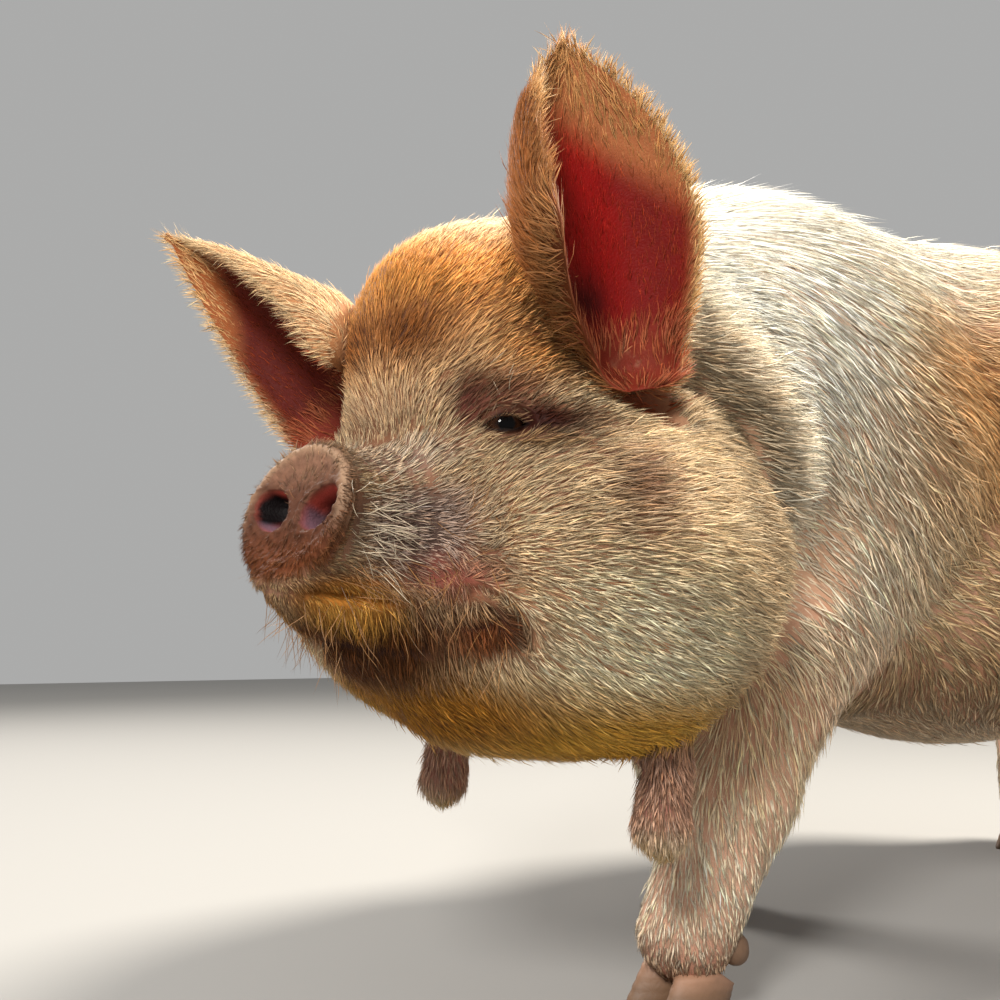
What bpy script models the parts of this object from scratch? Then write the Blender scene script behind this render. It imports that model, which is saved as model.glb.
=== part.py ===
# A standing kunekune pig, life size, its head turned to its own left.
# The pig faces -Y, its left side is +X, and the floor is z = 0.
import math

import bmesh
import bpy
import numpy as np
from mathutils import Matrix, Vector

for item in list(bpy.data.objects):
    bpy.data.objects.remove(item, do_unlink=True)

# Driving dimensions, in metres and degrees.
GAP = 0.0003
CUT = 0.0004
VOXEL = 0.008
FLESH_TRIANGLES = 2660
HEAD_CENTRE = (0.152, -0.290, 0.387)
HEAD_TURN = (17.2, 0.0, 2.5)
EYE_CENTRE = (0.065, -0.001, -0.0092)
EYE_RADIUS = 0.0125
EYE_FACING = (0.80, -0.58, 0.10)
EYE_OPENING = (0.0125, 0.0080)
EAR_THICKNESS = 0.008

# Each egg is a centre, three half sizes and a turn (yaw, pitch, roll), then the width of its blend.
# Eggs of the head off the midline are mirrored.
TRUNK_EGGS = {
    "chest": ((0.0, 0.08, 0.410), (0.200, 0.22, 0.235), (0, 0, 0), 0.08),
    "belly": ((0.0, 0.36, 0.414), (0.240, 0.33, 0.258), (0, 0, 0), 0.10),
    "rump": ((0.0, 0.61, 0.445), (0.200, 0.20, 0.222), (0, 0, 0), 0.10),
    "withers": ((0.0, 0.13, 0.530), (0.150, 0.24, 0.130), (0, 0, 0), 0.08),
}
NECK = ((0.010, 0.05, 0.435), 0.212, (0.085, -0.12, 0.405), 0.160, 0.06)
HEAD_EGGS = {
    "cranium": ((0.0, 0.066, 0.038), (0.086, 0.113, 0.098), (0, 20, 0), 0.03),
    "cheek": ((0.028, 0.045, -0.040), (0.062, 0.078, 0.078), (0, 0, 0), 0.05),
    "brow": ((0.044, 0.022, 0.030), (0.034, 0.043, 0.026), (0, 0, 0), 0.03),
    "disc": ((0.0, -0.088, -0.059), (0.0455, 0.010, 0.037), (0, 16, 0), 0.008),
    "jowl": ((0.080, 0.085, -0.080), (0.090, 0.115, 0.100), (-8, 0, 0), 0.06),
    "throat": ((0.0, 0.115, -0.120), (0.12, 0.12, 0.085), (0, 0, 0), 0.06),
    "nape": ((0.0, 0.150, 0.010), (0.120, 0.12, 0.120), (0, 0, 0), 0.06),
    "earBase": ((0.056, 0.060, 0.100), (0.038, 0.044, 0.040), (0, 0, 0), 0.03),
}
MUZZLE = ((0.0, 0.0, -0.066), 0.051, (0.0, -0.074, -0.062), 0.036, 0.030)
JAW = ((0.0, 0.05, -0.130), 0.064, (0.0, -0.066, -0.096), 0.030, 0.030)
# The flat face of the snout: the disc's centre and turn, how far the face stands before it, its rim's blend.
SNOUT_FACE = ((0.0, -0.088, -0.059), (0, 16, 0), 0.0035, 0.006)
# Each leg is a run of centres and radii from the shoulder or hip to the fetlock.
LEGS = {
    "fore_left": (((0.115, 0.08, 0.40), 0.115), ((0.134, 0.025, 0.275), 0.060),
                  ((0.129, -0.037, 0.155), 0.041), ((0.118, -0.075, 0.062), 0.034)),
    "fore_right": (((-0.115, 0.10, 0.40), 0.115), ((-0.138, 0.110, 0.275), 0.064),
                   ((-0.130, 0.120, 0.155), 0.042), ((-0.118, 0.125, 0.062), 0.034)),
    "hind_left": (((0.105, 0.61, 0.42), 0.145), ((0.135, 0.610, 0.275), 0.085),
                  ((0.128, 0.755, 0.175), 0.044), ((0.122, 0.742, 0.062), 0.035)),
    "hind_right": (((-0.105, 0.58, 0.42), 0.145), ((-0.135, 0.585, 0.275), 0.085),
                   ((-0.128, 0.705, 0.172), 0.044), ((-0.122, 0.685, 0.062), 0.035)),
}
WATTLE_RUN = 0.010
WATTLE_ROOT = 0.012
LEG_RUN = 0.030
LEG_ROOT = 0.050
HEAD_ROOT = 0.035
TAIL_RUN = 0.010
TAIL_ROOT = 0.015
MIDLINE = 0.006
WATTLE = (((0.094, 0.124, -0.160), 0.015), ((0.093, 0.114, -0.228), 0.021))
TAIL = (((0.0, 0.785, 0.505), 0.026), ((0.010, 0.860, 0.445), 0.014),
        ((0.0, 0.876, 0.360), 0.011), ((0.004, 0.868, 0.285), 0.018))


def rowsOf(turn):
    """Rows are a turned frame's own left, back and up axes."""
    yaw, pitch, roll = (math.radians(angle) for angle in turn)
    spin = Matrix.Rotation(yaw, 3, "Z") @ Matrix.Rotation(-pitch, 3, "X") @ Matrix.Rotation(roll, 3, "Y")
    return np.array(spin).T


HEAD_ROWS = rowsOf(HEAD_TURN)


def toHead(points):
    return (points - np.array(HEAD_CENTRE)) @ HEAD_ROWS.T


def fromHead(points):
    return np.asarray(points, float) @ HEAD_ROWS + np.array(HEAD_CENTRE)


def eggField(points, centre, radii, turn):
    local = (points - np.array(centre)) @ rowsOf(turn).T
    near = np.linalg.norm(local / radii, axis=1)
    slope = np.linalg.norm(local / np.square(radii), axis=1)
    return near * (near - 1) / np.maximum(slope, 1e-9)


def limbField(points, start, startRadius, end, endRadius):
    along = np.array(end) - np.array(start)
    length = np.linalg.norm(along)
    lean = (startRadius - endRadius) / length
    offset = points - np.array(start)
    down = offset @ along / length
    out = np.sqrt(np.maximum((offset ** 2).sum(1) - down ** 2, 0))
    rise = math.sqrt(1 - lean ** 2)
    where = down * rise - out * lean
    side = out * rise + down * lean - startRadius
    first = np.hypot(out, down) - startRadius
    last = np.hypot(out, down - length) - endRadius
    return np.where(where < 0, first, np.where(where > rise * length, last, side))


def blend(first, second, width):
    near = np.maximum(width - np.abs(first - second), 0) / width
    return np.minimum(first, second) - near ** 3 * width / 6


def runField(points, run, width):
    total = None
    for (start, startRadius), (end, endRadius) in zip(run[:-1], run[1:]):
        piece = limbField(points, start, startRadius, end, endRadius)
        total = piece if total is None else blend(total, piece, width)
    return total


def mirrored(points):
    folded = points.copy()
    folded[:, 0] = np.sqrt(folded[:, 0] ** 2 + MIDLINE ** 2)
    return folded


def headField(points):
    folded = mirrored(toHead(points))
    total = None
    for centre, radii, turn, width in HEAD_EGGS.values():
        piece = eggField(folded, centre, radii, turn)
        total = piece if total is None else blend(total, piece, width)
    for start, startRadius, end, endRadius, width in (MUZZLE, JAW):
        total = blend(total, limbField(folded, start, startRadius, end, endRadius), width)
    centre, turn, before, rim = SNOUT_FACE
    ahead = -((folded - np.array(centre)) @ rowsOf(turn).T)[:, 1] - before
    total = -blend(-total, -ahead, rim)
    return blend(total, runField(folded, WATTLE, WATTLE_RUN), WATTLE_ROOT)


def pigField(points):
    total = None
    for centre, radii, turn, width in TRUNK_EGGS.values():
        piece = eggField(points, centre, radii, turn)
        total = piece if total is None else blend(total, piece, width)
    total = blend(total, limbField(points, *NECK[:4]), NECK[4])
    for leg in LEGS.values():
        total = blend(total, runField(points, leg, LEG_RUN), LEG_ROOT)
    total = blend(total, headField(points), HEAD_ROOT)
    return blend(total, runField(points, TAIL, TAIL_RUN), TAIL_ROOT)


def fieldSlope(points):
    step = 0.001
    shifts = np.eye(3) * step
    return np.stack([pigField(points + s) - pigField(points - s) for s in shifts], axis=1) / (2 * step)


def settle(points, rounds):
    """Moves points on to the surface where the field is nought."""
    for _ in range(rounds):
        value = np.clip(pigField(points), -0.02, 0.02)
        slope = fieldSlope(points)
        points = points - (value / ((slope ** 2).sum(1) + 1e-6))[:, None] * slope * 0.9
    return points


# Ears, in the head's frame: root, tip, the way from the front edge to the rear edge, the hand; the
# share of the width at the root, how far up it is widest and how blunt it is; for the front half, how
# much it is tucked in at the root, its width above and its curl at the root and above; the heel's reach.
EARS = {
    "left": ((0.089, 0.064, 0.040), (0.088, 0.010, 0.224), (0.50, 0.86, 0.0), 1,
             (0.62, 0.40, 2.1), (0.46, 1.15, 28.0, 62.0), 0.030),
    "right": ((-0.100, 0.030, 0.050), (-0.232, -0.066, 0.162), (-0.55, 0.20, -0.78), -1,
              (1.00, 0.10, 1.3), (0.0, 1.12, 48.0, 48.0), 0.012),
}
EAR_COLUMNS = 9
EAR_ROWS = 10
EAR_FRONT = 0.3
EAR_TUCK_ENDS = (-0.05, 0.38)
EAR_CURL_ENDS = (0.0, 0.4)
EAR_UNCURL_ENDS = (0.72, 1.0)
EAR_HEEL_LEFT = 0.35
EAR_LEAST = 0.0034
EAR_HALF_WIDTH = 0.056
EAR_ROOT_DEPTH = 0.11
EAR_CUP = (80.0, 38.0)
EAR_CUP_POWER = 0.7
# Each cut takes a piece off a host along a thin round plate (centre, facing, radius) or along the
# thin shell of an egg (centre, half sizes, turn); the last two say where the piece's middle lies
# and whether all of it is in the head's frame.
CUTS = (
    ("leg_fore_left", "trunk", "egg", (0.155, 0.00, 0.130), (0.105, 0.145, 0.215), (0, 0, 0),
     (0.13, -0.03, 0.15), False),
    ("leg_fore_right", "trunk", "egg", (-0.155, 0.11, 0.130), (0.105, 0.135, 0.215), (0, 0, 0),
     (-0.13, 0.12, 0.15), False),
    ("leg_hind_left", "trunk", "egg", (0.160, 0.66, 0.130), (0.120, 0.175, 0.265), (0, 0, 0),
     (0.13, 0.68, 0.18), False),
    ("leg_hind_right", "trunk", "egg", (-0.160, 0.62, 0.130), (0.120, 0.175, 0.265), (0, 0, 0),
     (-0.13, 0.62, 0.18), False),
    ("tail", "trunk", "egg", (0.005, 0.880, 0.370), (0.060, 0.055, 0.130), (0, 0, 0),
     (0.0, 0.87, 0.36), False),
    ("head", "trunk", "plate", (0.0, 0.150, -0.030), (0.0, 0.93, 0.36), 0.260,
     (0.0, 0.02, 0.0), True),
    ("neck", "trunk", "plate", (0.05, 0.010, 0.430), (-0.30, 0.93, 0.0), 0.330,
     (0.05, -0.06, 0.42), False),
    ("jaw", "head", "egg", (0.0, -0.070, -0.152), (0.085, 0.105, 0.055), (0, -6, 0),
     (0.0, -0.07, -0.12), True),
    ("snout", "head", "plate", (0.0, -0.056, -0.060), (0.0, 1.0, 0.10), 0.085,
     (0.0, -0.09, -0.055), True),
    ("wattle_left", "head", "egg", (0.093, 0.116, -0.237), (0.040, 0.040, 0.050), (0, 0, 0),
     (0.09, 0.11, -0.22), True),
    ("wattle_right", "head", "egg", (-0.093, 0.116, -0.237), (0.040, 0.040, 0.050), (0, 0, 0),
     (-0.09, 0.11, -0.22), True),
)
HOOF = (0.0155, 0.034, 0.040)
HOOF_TURN = (6.0, 18.0, 0.0)
HOOF_SPREAD = 0.0165
HOOF_FORWARD = 0.014
HOOF_HEIGHT = 0.012
DEWCLAW = (0.009, 0.011, 0.015)
DEWCLAW_TURN = (0.0, -40.0, 0.0)
DEWCLAW_SPREAD = 0.019
DEWCLAW_BACK = 0.80
DEWCLAW_HEIGHT = 0.052

pig = bpy.data.collections.new("kunekune_pig")
bpy.context.scene.collection.children.link(pig)
cutters = bpy.data.collections.new("cutters")
bpy.context.scene.collection.children.link(cutters)


def newObject(name, shape, home):
    mesh = bpy.data.meshes.new(name)
    shape.to_mesh(mesh)
    shape.free()
    made = bpy.data.objects.new(name, mesh)
    home.objects.link(made)
    return made


def joinPrimitives(makers, name):
    joined = bmesh.new()
    for make in makers:
        one = bmesh.new()
        make(one)
        scratch = bpy.data.meshes.new("scratch")
        one.to_mesh(scratch)
        one.free()
        joined.from_mesh(scratch)
        bpy.data.meshes.remove(scratch)
    return newObject(name, joined, cutters)


def placing(centre, turn, radii, inHead):
    spin = Matrix(rowsOf(turn).T.tolist()).to_4x4()
    place = Matrix.Translation(Vector(centre)) @ spin @ Matrix.Diagonal((*radii, 1.0))
    if inHead:
        headSpin = Matrix(HEAD_ROWS.T.tolist()).to_4x4()
        place = Matrix.Translation(Vector(HEAD_CENTRE)) @ headSpin @ place
    return place


def eggMaker(centre, radii, turn, inHead):
    place = placing(centre, turn, radii, inHead)
    return lambda shape: bmesh.ops.create_uvsphere(shape, u_segments=32, v_segments=16, radius=1.0, matrix=place)


def limbMakers(start, startRadius, end, endRadius, inHead):
    middle = (Vector(start) + Vector(end)) / 2
    along = Vector(end) - Vector(start)
    spin = along.to_track_quat("Z", "Y").to_matrix().to_4x4()
    place = placing((0, 0, 0), (0, 0, 0), (1, 1, 1), inHead) @ Matrix.Translation(middle) @ spin

    def cone(shape):
        bmesh.ops.create_cone(shape, cap_ends=True, segments=32, radius1=startRadius, radius2=endRadius,
                              depth=along.length, matrix=place)
    ends = [eggMaker(centre, (radius,) * 3, (0, 0, 0), inHead) for centre, radius in
            ((start, startRadius), (end, endRadius))]
    return [cone] + ends


def runMakers(run, inHead):
    makers = []
    for (start, startRadius), (end, endRadius) in zip(run[:-1], run[1:]):
        makers += limbMakers(start, startRadius, end, endRadius, inHead)
    return makers


def mirroredPlace(place, side):
    return (place[0] * side, place[1], place[2])


makers = [eggMaker(centre, radii, turn, False) for centre, radii, turn, _ in TRUNK_EGGS.values()]
makers += limbMakers(*NECK[:4], False)
for side in (1, -1):
    for centre, radii, turn, _ in HEAD_EGGS.values():
        makers.append(eggMaker(mirroredPlace(centre, side), radii, (turn[0] * side, turn[1], turn[2] * side), True))
    makers += runMakers([(mirroredPlace(centre, side), radius) for centre, radius in WATTLE], True)
makers += limbMakers(*MUZZLE[:4], True) + limbMakers(*JAW[:4], True)
for leg in LEGS.values():
    makers += runMakers(leg, False)
makers += runMakers(TAIL, False)
flesh = joinPrimitives(makers, "flesh")


def evaluated(thing):
    """Replaces an object's mesh by the one its modifiers give."""
    graph = bpy.context.evaluated_depsgraph_get()
    mesh = bpy.data.meshes.new_from_object(thing.evaluated_get(graph))
    thing.modifiers.clear()
    thing.data = mesh
    return thing


def pointsOf(mesh):
    flat = np.empty(len(mesh.vertices) * 3, np.float32)
    mesh.vertices.foreach_get("co", flat)
    return flat.reshape(-1, 3).astype(float)


def putPoints(mesh, points):
    mesh.vertices.foreach_set("co", points.astype(np.float32).ravel())
    mesh.update()


remesh = flesh.modifiers.new("remesh", "REMESH")
remesh.mode = "VOXEL"
remesh.voxel_size = VOXEL
evaluated(flesh)
putPoints(flesh.data, settle(pointsOf(flesh.data), 5))

# Keeps the face fine and the trunk coarse when the mesh is thinned out.
FACE_SHARE = 0.80
detail = flesh.vertex_groups.new(name="coarse")
fromFace = np.linalg.norm(toHead(pointsOf(flesh.data)) - np.array((0.0, 0.0, -0.03)), axis=1)
coarseness = np.clip((fromFace - 0.10) / 0.25, 0, 1) * (1 - FACE_SHARE) + FACE_SHARE
for index, weight in enumerate(coarseness):
    detail.add([index], float(weight), "REPLACE")
thin = flesh.modifiers.new("thin", "DECIMATE")
thin.ratio = FLESH_TRIANGLES / (2 * len(flesh.data.polygons))
thin.vertex_group = "coarse"
thin.vertex_group_factor = 1.0
evaluated(flesh)
putPoints(flesh.data, settle(pointsOf(flesh.data), 1))


def fattened(thing, distance):
    """A copy of a closed thing grown by a distance along its normals."""
    copy = thing.copy()
    copy.data = thing.data.copy()
    copy.name = thing.name + "_grown"
    cutters.objects.link(copy)
    grow = copy.modifiers.new("grow", "DISPLACE")
    grow.strength = distance
    grow.mid_level = 0.0
    return evaluated(copy)


def combine(thing, other, operation):
    bite = thing.modifiers.new("bite", "BOOLEAN")
    bite.operation = operation
    bite.solver = "EXACT"
    bite.object = other
    return evaluated(thing)


def ease(value, low, high):
    """Nought below the low end, one above the high end and smooth between."""
    share = np.clip((value - low) / (high - low), 0, 1)
    return share * share * (3 - 2 * share)


def earWidth(along, rootShare, widest, blunt):
    """Half width along the ear: from the root to its widest place, then to a blunt point."""
    root = rootShare + (1 - rootShare) * np.sin(np.clip(along / widest, 0, 1) * math.pi / 2)
    taper = 1 - np.clip((along - widest) / (1 - widest), 0, 1) ** blunt
    return np.maximum(EAR_HALF_WIDTH * root * taper, EAR_LEAST)


def earPoints(across, along, root, tip, broad, hand, outline, frontHalf, heel):
    """A cupped leaf: an arc at each place along the line from root to tip, curled over in front."""
    root, tip, broad = (np.array(value, float) for value in (root, tip, broad))
    tuck, wide, rootCurl, curl = frontHalf
    axis = tip - root
    broad = broad - axis * (broad @ axis) / (axis @ axis)
    broad /= np.linalg.norm(broad)
    facing = np.cross(broad, axis)
    facing *= hand / np.linalg.norm(facing)
    sink = np.clip(-along / EAR_ROOT_DEPTH, 0, 1)
    front = ease(-across, 0.0, EAR_FRONT)
    above = 1 - ease(along, *EAR_UNCURL_ENDS)
    half = earWidth(along, *outline) * np.sqrt(1 - (1 - EAR_HEEL_LEFT) * sink ** 2)
    half = half * (1 - front * tuck * (1 - ease(along, *EAR_TUCK_ENDS))) * (1 + front * (wide - 1) * above)
    cup = EAR_CUP[0] + (EAR_CUP[1] - EAR_CUP[0]) * np.clip(along, 0, 1) ** EAR_CUP_POWER
    cup = np.radians(cup + front * above * (rootCurl + (curl - rootCurl) * ease(along, *EAR_CURL_ENDS)))
    radius = half / np.sin(np.minimum(cup, math.pi / 2))
    angle = across * cup
    down = np.sin(sink * math.pi / 2) * EAR_ROOT_DEPTH
    middle = root + np.where(along > 0, along, -down)[:, None] * axis
    middle = middle + facing * (heel * (1 - np.cos(sink * math.pi / 2)))[:, None]
    return middle + broad * (radius * np.sin(angle))[:, None] + facing * (radius * (1 - np.cos(angle)))[:, None]


def ear(side):
    shape = bmesh.new()
    bmesh.ops.create_grid(shape, x_segments=EAR_COLUMNS, y_segments=EAR_ROWS, size=1.0)
    blade = newObject("ear_" + side, shape, pig)
    grid = pointsOf(blade.data)
    along = (grid[:, 1] + 1) / 2 * (1 + EAR_ROOT_DEPTH) - EAR_ROOT_DEPTH
    putPoints(blade.data, fromHead(earPoints(grid[:, 0], along, *EARS[side])))
    wall = blade.modifiers.new("wall", "SOLIDIFY")
    wall.thickness = EAR_THICKNESS
    wall.offset = 0.0
    blade.modifiers.new("split", "TRIANGULATE")
    return evaluated(blade)


ears = {side: ear(side) for side in EARS}


def ball(name, centre, radii, facing, inHead, home, segments):
    shape = bmesh.new()
    place = Matrix.Translation(Vector(centre)) @ Vector(facing).to_track_quat("Z", "Y").to_matrix().to_4x4()
    place = placing((0, 0, 0), (0, 0, 0), (1, 1, 1), inHead) @ place @ Matrix.Diagonal((*radii, 1.0))
    bmesh.ops.create_uvsphere(shape, u_segments=segments, v_segments=segments // 2, radius=1.0, matrix=place)
    return newObject(name, shape, home)


eyes = {}
openings = []
for side, name in ((1, "left"), (-1, "right")):
    centre = mirroredPlace(EYE_CENTRE, side)
    facing = mirroredPlace(EYE_FACING, side)
    eyes[name] = ball("eye_" + name, centre, (EYE_RADIUS,) * 3, facing, True, pig, 12)
    mouth = Vector(centre) + Vector(facing).normalized() * EYE_RADIUS
    openings.append(ball("opening_" + name, mouth, (*EYE_OPENING[::-1], EYE_RADIUS), facing, True, cutters, 12))


def claw(name, centre, radii, turn, floor, home):
    """A blunt horn: an egg cut flat where it stands on the floor."""
    shape = bmesh.new()
    bmesh.ops.create_uvsphere(shape, u_segments=8, v_segments=5, radius=1.0,
                              matrix=placing(centre, turn, radii, False))
    if floor:
        cut = bmesh.ops.bisect_plane(shape, geom=shape.verts[:] + shape.edges[:] + shape.faces[:],
                                     plane_co=(0, 0, 0), plane_no=(0, 0, -1), clear_outer=True)
        rim = [edge for edge in cut["geom_cut"] if isinstance(edge, bmesh.types.BMEdge)]
        bmesh.ops.contextual_create(shape, geom=rim)
    bmesh.ops.triangulate(shape, faces=shape.faces[:])
    return newObject(name, shape, home)


hooves = []
for name, leg in LEGS.items():
    (x, y, z), radius = leg[-1]
    for side, place in ((1, "outer"), (-1, "inner")):
        outward = side * math.copysign(1, x)
        hooves.append(claw(f"hoof_{name}_{place}", (x + outward * HOOF_SPREAD, y - HOOF_FORWARD, HOOF_HEIGHT), HOOF,
                           (HOOF_TURN[0] * outward, *HOOF_TURN[1:]), True, pig))
        dewclaw = claw(f"dewclaw_{name}_{place}",
                       (x + outward * DEWCLAW_SPREAD, y + radius * DEWCLAW_BACK, DEWCLAW_HEIGHT), DEWCLAW,
                       DEWCLAW_TURN, False, cutters)
        combine(flesh, dewclaw, "UNION")

for piece in list(ears.values()) + list(eyes.values()) + hooves:
    combine(flesh, fattened(piece, GAP), "DIFFERENCE")
for opening in openings:
    combine(flesh, opening, "DIFFERENCE")


def plate(name, centre, facing, radius, inHead):
    shape = bmesh.new()
    spin = Vector(facing).to_track_quat("Z", "Y").to_matrix().to_4x4()
    place = placing((0, 0, 0), (0, 0, 0), (1, 1, 1), inHead) @ Matrix.Translation(Vector(centre)) @ spin
    bmesh.ops.create_cone(shape, cap_ends=True, segments=48, radius1=radius, radius2=radius, depth=CUT, matrix=place)
    return newObject("cut_" + name, shape, cutters)


def shell(name, centre, radii, turn, inHead):
    shape = bmesh.new()
    bmesh.ops.create_uvsphere(shape, u_segments=20, v_segments=12, radius=1.0,
                              matrix=placing(centre, turn, [r - CUT / 2 for r in radii], inHead))
    bmesh.ops.reverse_faces(shape, faces=shape.faces[:])
    bmesh.ops.create_uvsphere(shape, u_segments=20, v_segments=12, radius=1.0,
                              matrix=placing(centre, turn, [r + CUT / 2 for r in radii], inHead))
    return newObject("cut_" + name, shape, cutters)


def looseParts(thing):
    """Splits a mesh into its separate bodies."""
    whole = bmesh.new()
    whole.from_mesh(thing.data)
    left = set(whole.verts)
    bodies = []
    while left:
        stack = [left.pop()]
        body = set(stack)
        while stack:
            for edge in stack.pop().link_edges:
                for other in edge.verts:
                    if other not in body:
                        body.add(other)
                        stack.append(other)
        left -= body
        bodies.append({vert.index for vert in body})
    pieces = []
    for body in bodies:
        piece = whole.copy()
        bmesh.ops.delete(piece, geom=[vert for vert in piece.verts if vert.index not in body], context="VERTS")
        pieces.append(piece)
    whole.free()
    return pieces


flesh.name = "trunk"
bodies = {"trunk": flesh}
pig.objects.link(flesh)
cutters.objects.unlink(flesh)
for name, host, kind, centre, second, third, middle, inHead in CUTS:
    if kind == "plate":
        cutter = plate(name, centre, second, third, inHead)
    else:
        cutter = shell(name, centre, second, third, inHead)
    combine(bodies[host], cutter, "DIFFERENCE")
    pieces = looseParts(bodies[host])
    seed = fromHead(middle) if inHead else np.array(middle)
    pieces.sort(key=lambda piece: np.linalg.norm(np.mean([vert.co for vert in piece.verts], axis=0) - seed))
    bodies[name] = newObject(name, pieces[0], pig)
    rest = max(pieces[1:], key=lambda piece: piece.calc_volume())
    rest.to_mesh(bodies[host].data)

# Each piece has its own material: name start, colour, roughness.
FINISHES = (
    ("eye", (0.035, 0.020, 0.014), 0.15),
    ("hoof", (0.190, 0.140, 0.100), 0.55),
    ("ear", (0.560, 0.300, 0.180), 0.75),
    ("snout", (0.330, 0.190, 0.140), 0.60),
    ("jaw", (0.480, 0.290, 0.150), 0.80),
    ("wattle", (0.600, 0.400, 0.300), 0.80),
    ("leg", (0.620, 0.450, 0.330), 0.80),
    ("", (0.680, 0.500, 0.310), 0.80),
)
for piece in pig.objects:
    colour, roughness = next(finish[1:] for finish in FINISHES if piece.name.startswith(finish[0]))
    coat = bpy.data.materials.new(piece.name)
    coat.use_nodes = True
    shader = coat.node_tree.nodes["Principled BSDF"]
    shader.inputs["Base Color"].default_value = (*colour, 1.0)
    shader.inputs["Roughness"].default_value = roughness
    shader.inputs["Metallic"].default_value = 0.0
    piece.data.materials.clear()
    piece.data.materials.append(coat)

# Centres the whole on the origin, with the soles on the floor.
corners = np.concatenate([pointsOf(piece.data) for piece in pig.objects])
low, high = corners.min(axis=0), corners.max(axis=0)
SHIFT = np.array((-(low[0] + high[0]) / 2, -(low[1] + high[1]) / 2, -low[2]))
for piece in pig.objects:
    putPoints(piece.data, pointsOf(piece.data) + SHIFT)
for cutter in cutters.objects:
    cutter.hide_render = True
    cutter.display_type = "WIRE"
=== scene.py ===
import math
import bmesh
import bpy
import numpy as np
from mathutils import Matrix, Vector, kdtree


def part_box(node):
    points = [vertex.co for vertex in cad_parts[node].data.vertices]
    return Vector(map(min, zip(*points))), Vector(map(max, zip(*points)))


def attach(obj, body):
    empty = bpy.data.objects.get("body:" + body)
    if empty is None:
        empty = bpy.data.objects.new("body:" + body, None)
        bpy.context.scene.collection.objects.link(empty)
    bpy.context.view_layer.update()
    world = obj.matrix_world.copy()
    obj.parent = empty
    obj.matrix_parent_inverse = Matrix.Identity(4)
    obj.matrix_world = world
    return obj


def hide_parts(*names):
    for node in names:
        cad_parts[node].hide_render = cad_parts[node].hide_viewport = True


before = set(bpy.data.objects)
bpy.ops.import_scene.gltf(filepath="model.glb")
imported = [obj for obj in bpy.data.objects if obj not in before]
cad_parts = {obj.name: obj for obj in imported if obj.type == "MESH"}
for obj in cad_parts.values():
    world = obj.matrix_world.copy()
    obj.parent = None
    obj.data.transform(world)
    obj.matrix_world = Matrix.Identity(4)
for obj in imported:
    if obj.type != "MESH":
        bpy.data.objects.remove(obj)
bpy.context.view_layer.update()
rng = np.random.default_rng(11)
share = 1.0
print("frame loaded")

# The pig faces -Y and its left side is +X. Sizes are in metres, turns in degrees (yaw, nose up, roll).
# Head parts are given in the head's own frame, off the midline on the left, and mirrored.
pose = {"headCentre": (0.152, -0.29, 0.387), "headTurn": (17.2, 0.0, 2.5)}
trunkEggs = {  # centre, half sizes, turn, width of the blend
    "chest": ((0.0, 0.08, 0.41), (0.2, 0.22, 0.235), (0, 0, 0), 0.08),
    "belly": ((0.0, 0.36, 0.414), (0.24, 0.33, 0.258), (0, 0, 0), 0.1),
    "rump": ((0.0, 0.61, 0.445), (0.2, 0.2, 0.222), (0, 0, 0), 0.1),
    "withers": ((0.0, 0.13, 0.53), (0.15, 0.24, 0.13), (0, 0, 0), 0.08),
}
neckLimb = ((0.01, 0.05, 0.435), 0.212, (0.085, -0.12, 0.405), 0.16, 0.06)
headEggs = {
    "cranium": ((0.0, 0.066, 0.038), (0.086, 0.113, 0.098), (0, 20, 0), 0.03),
    "cheek": ((0.028, 0.045, -0.04), (0.062, 0.078, 0.078), (0, 0, 0), 0.05),
    "brow": ((0.044, 0.022, 0.03), (0.034, 0.043, 0.026), (0, 0, 0), 0.03),
    "disc": ((0.0, -0.088, -0.059), (0.0455, 0.01, 0.037), (0, 16, 0), 0.008),
    "jowl": ((0.08, 0.085, -0.08), (0.09, 0.115, 0.1), (-8, 0, 0), 0.06),
    "throat": ((0.0, 0.115, -0.12), (0.12, 0.12, 0.085), (0, 0, 0), 0.06),
    "nape": ((0.0, 0.15, 0.01), (0.12, 0.12, 0.12), (0, 0, 0), 0.06),
    "earBase": ((0.056, 0.06, 0.1), (0.038, 0.044, 0.04), (0, 0, 0), 0.03),
}
headLimbs = (
    ((0.0, 0.0, -0.066), 0.051, (0.0, -0.074, -0.062), 0.036, 0.03),
    ((0.0, 0.05, -0.13), 0.064, (0.0, -0.066, -0.096), 0.03, 0.03),
)
snoutFace = {"centre": (0.0, -0.088, -0.059), "turn": (0, 16, 0), "before": 0.0035, "rim": 0.006,
             "halfWidth": 0.0455, "halfHeight": 0.037}
legRuns = {  # centres and radii from the shoulder or hip to the fetlock
    "fore_left": (((0.115, 0.08, 0.4), 0.115), ((0.134, 0.025, 0.275), 0.06),
                  ((0.129, -0.037, 0.155), 0.041), ((0.118, -0.075, 0.062), 0.034)),
    "fore_right": (((-0.115, 0.1, 0.4), 0.115), ((-0.138, 0.11, 0.275), 0.064),
                   ((-0.13, 0.12, 0.155), 0.042), ((-0.118, 0.125, 0.062), 0.034)),
    "hind_left": (((0.105, 0.61, 0.42), 0.145), ((0.135, 0.61, 0.275), 0.085),
                  ((0.128, 0.755, 0.175), 0.044), ((0.122, 0.742, 0.062), 0.035)),
    "hind_right": (((-0.105, 0.58, 0.42), 0.145), ((-0.135, 0.585, 0.275), 0.085),
                   ((-0.128, 0.705, 0.172), 0.044), ((-0.122, 0.685, 0.062), 0.035)),
}
wattleRun = (((0.094, 0.124, -0.16), 0.015), ((0.093, 0.114, -0.228), 0.021))
tailRun = (((0.0, 0.785, 0.505), 0.026), ((0.01, 0.86, 0.445), 0.014),
           ((0.0, 0.876, 0.36), 0.011), ((0.004, 0.868, 0.285), 0.018))
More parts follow.
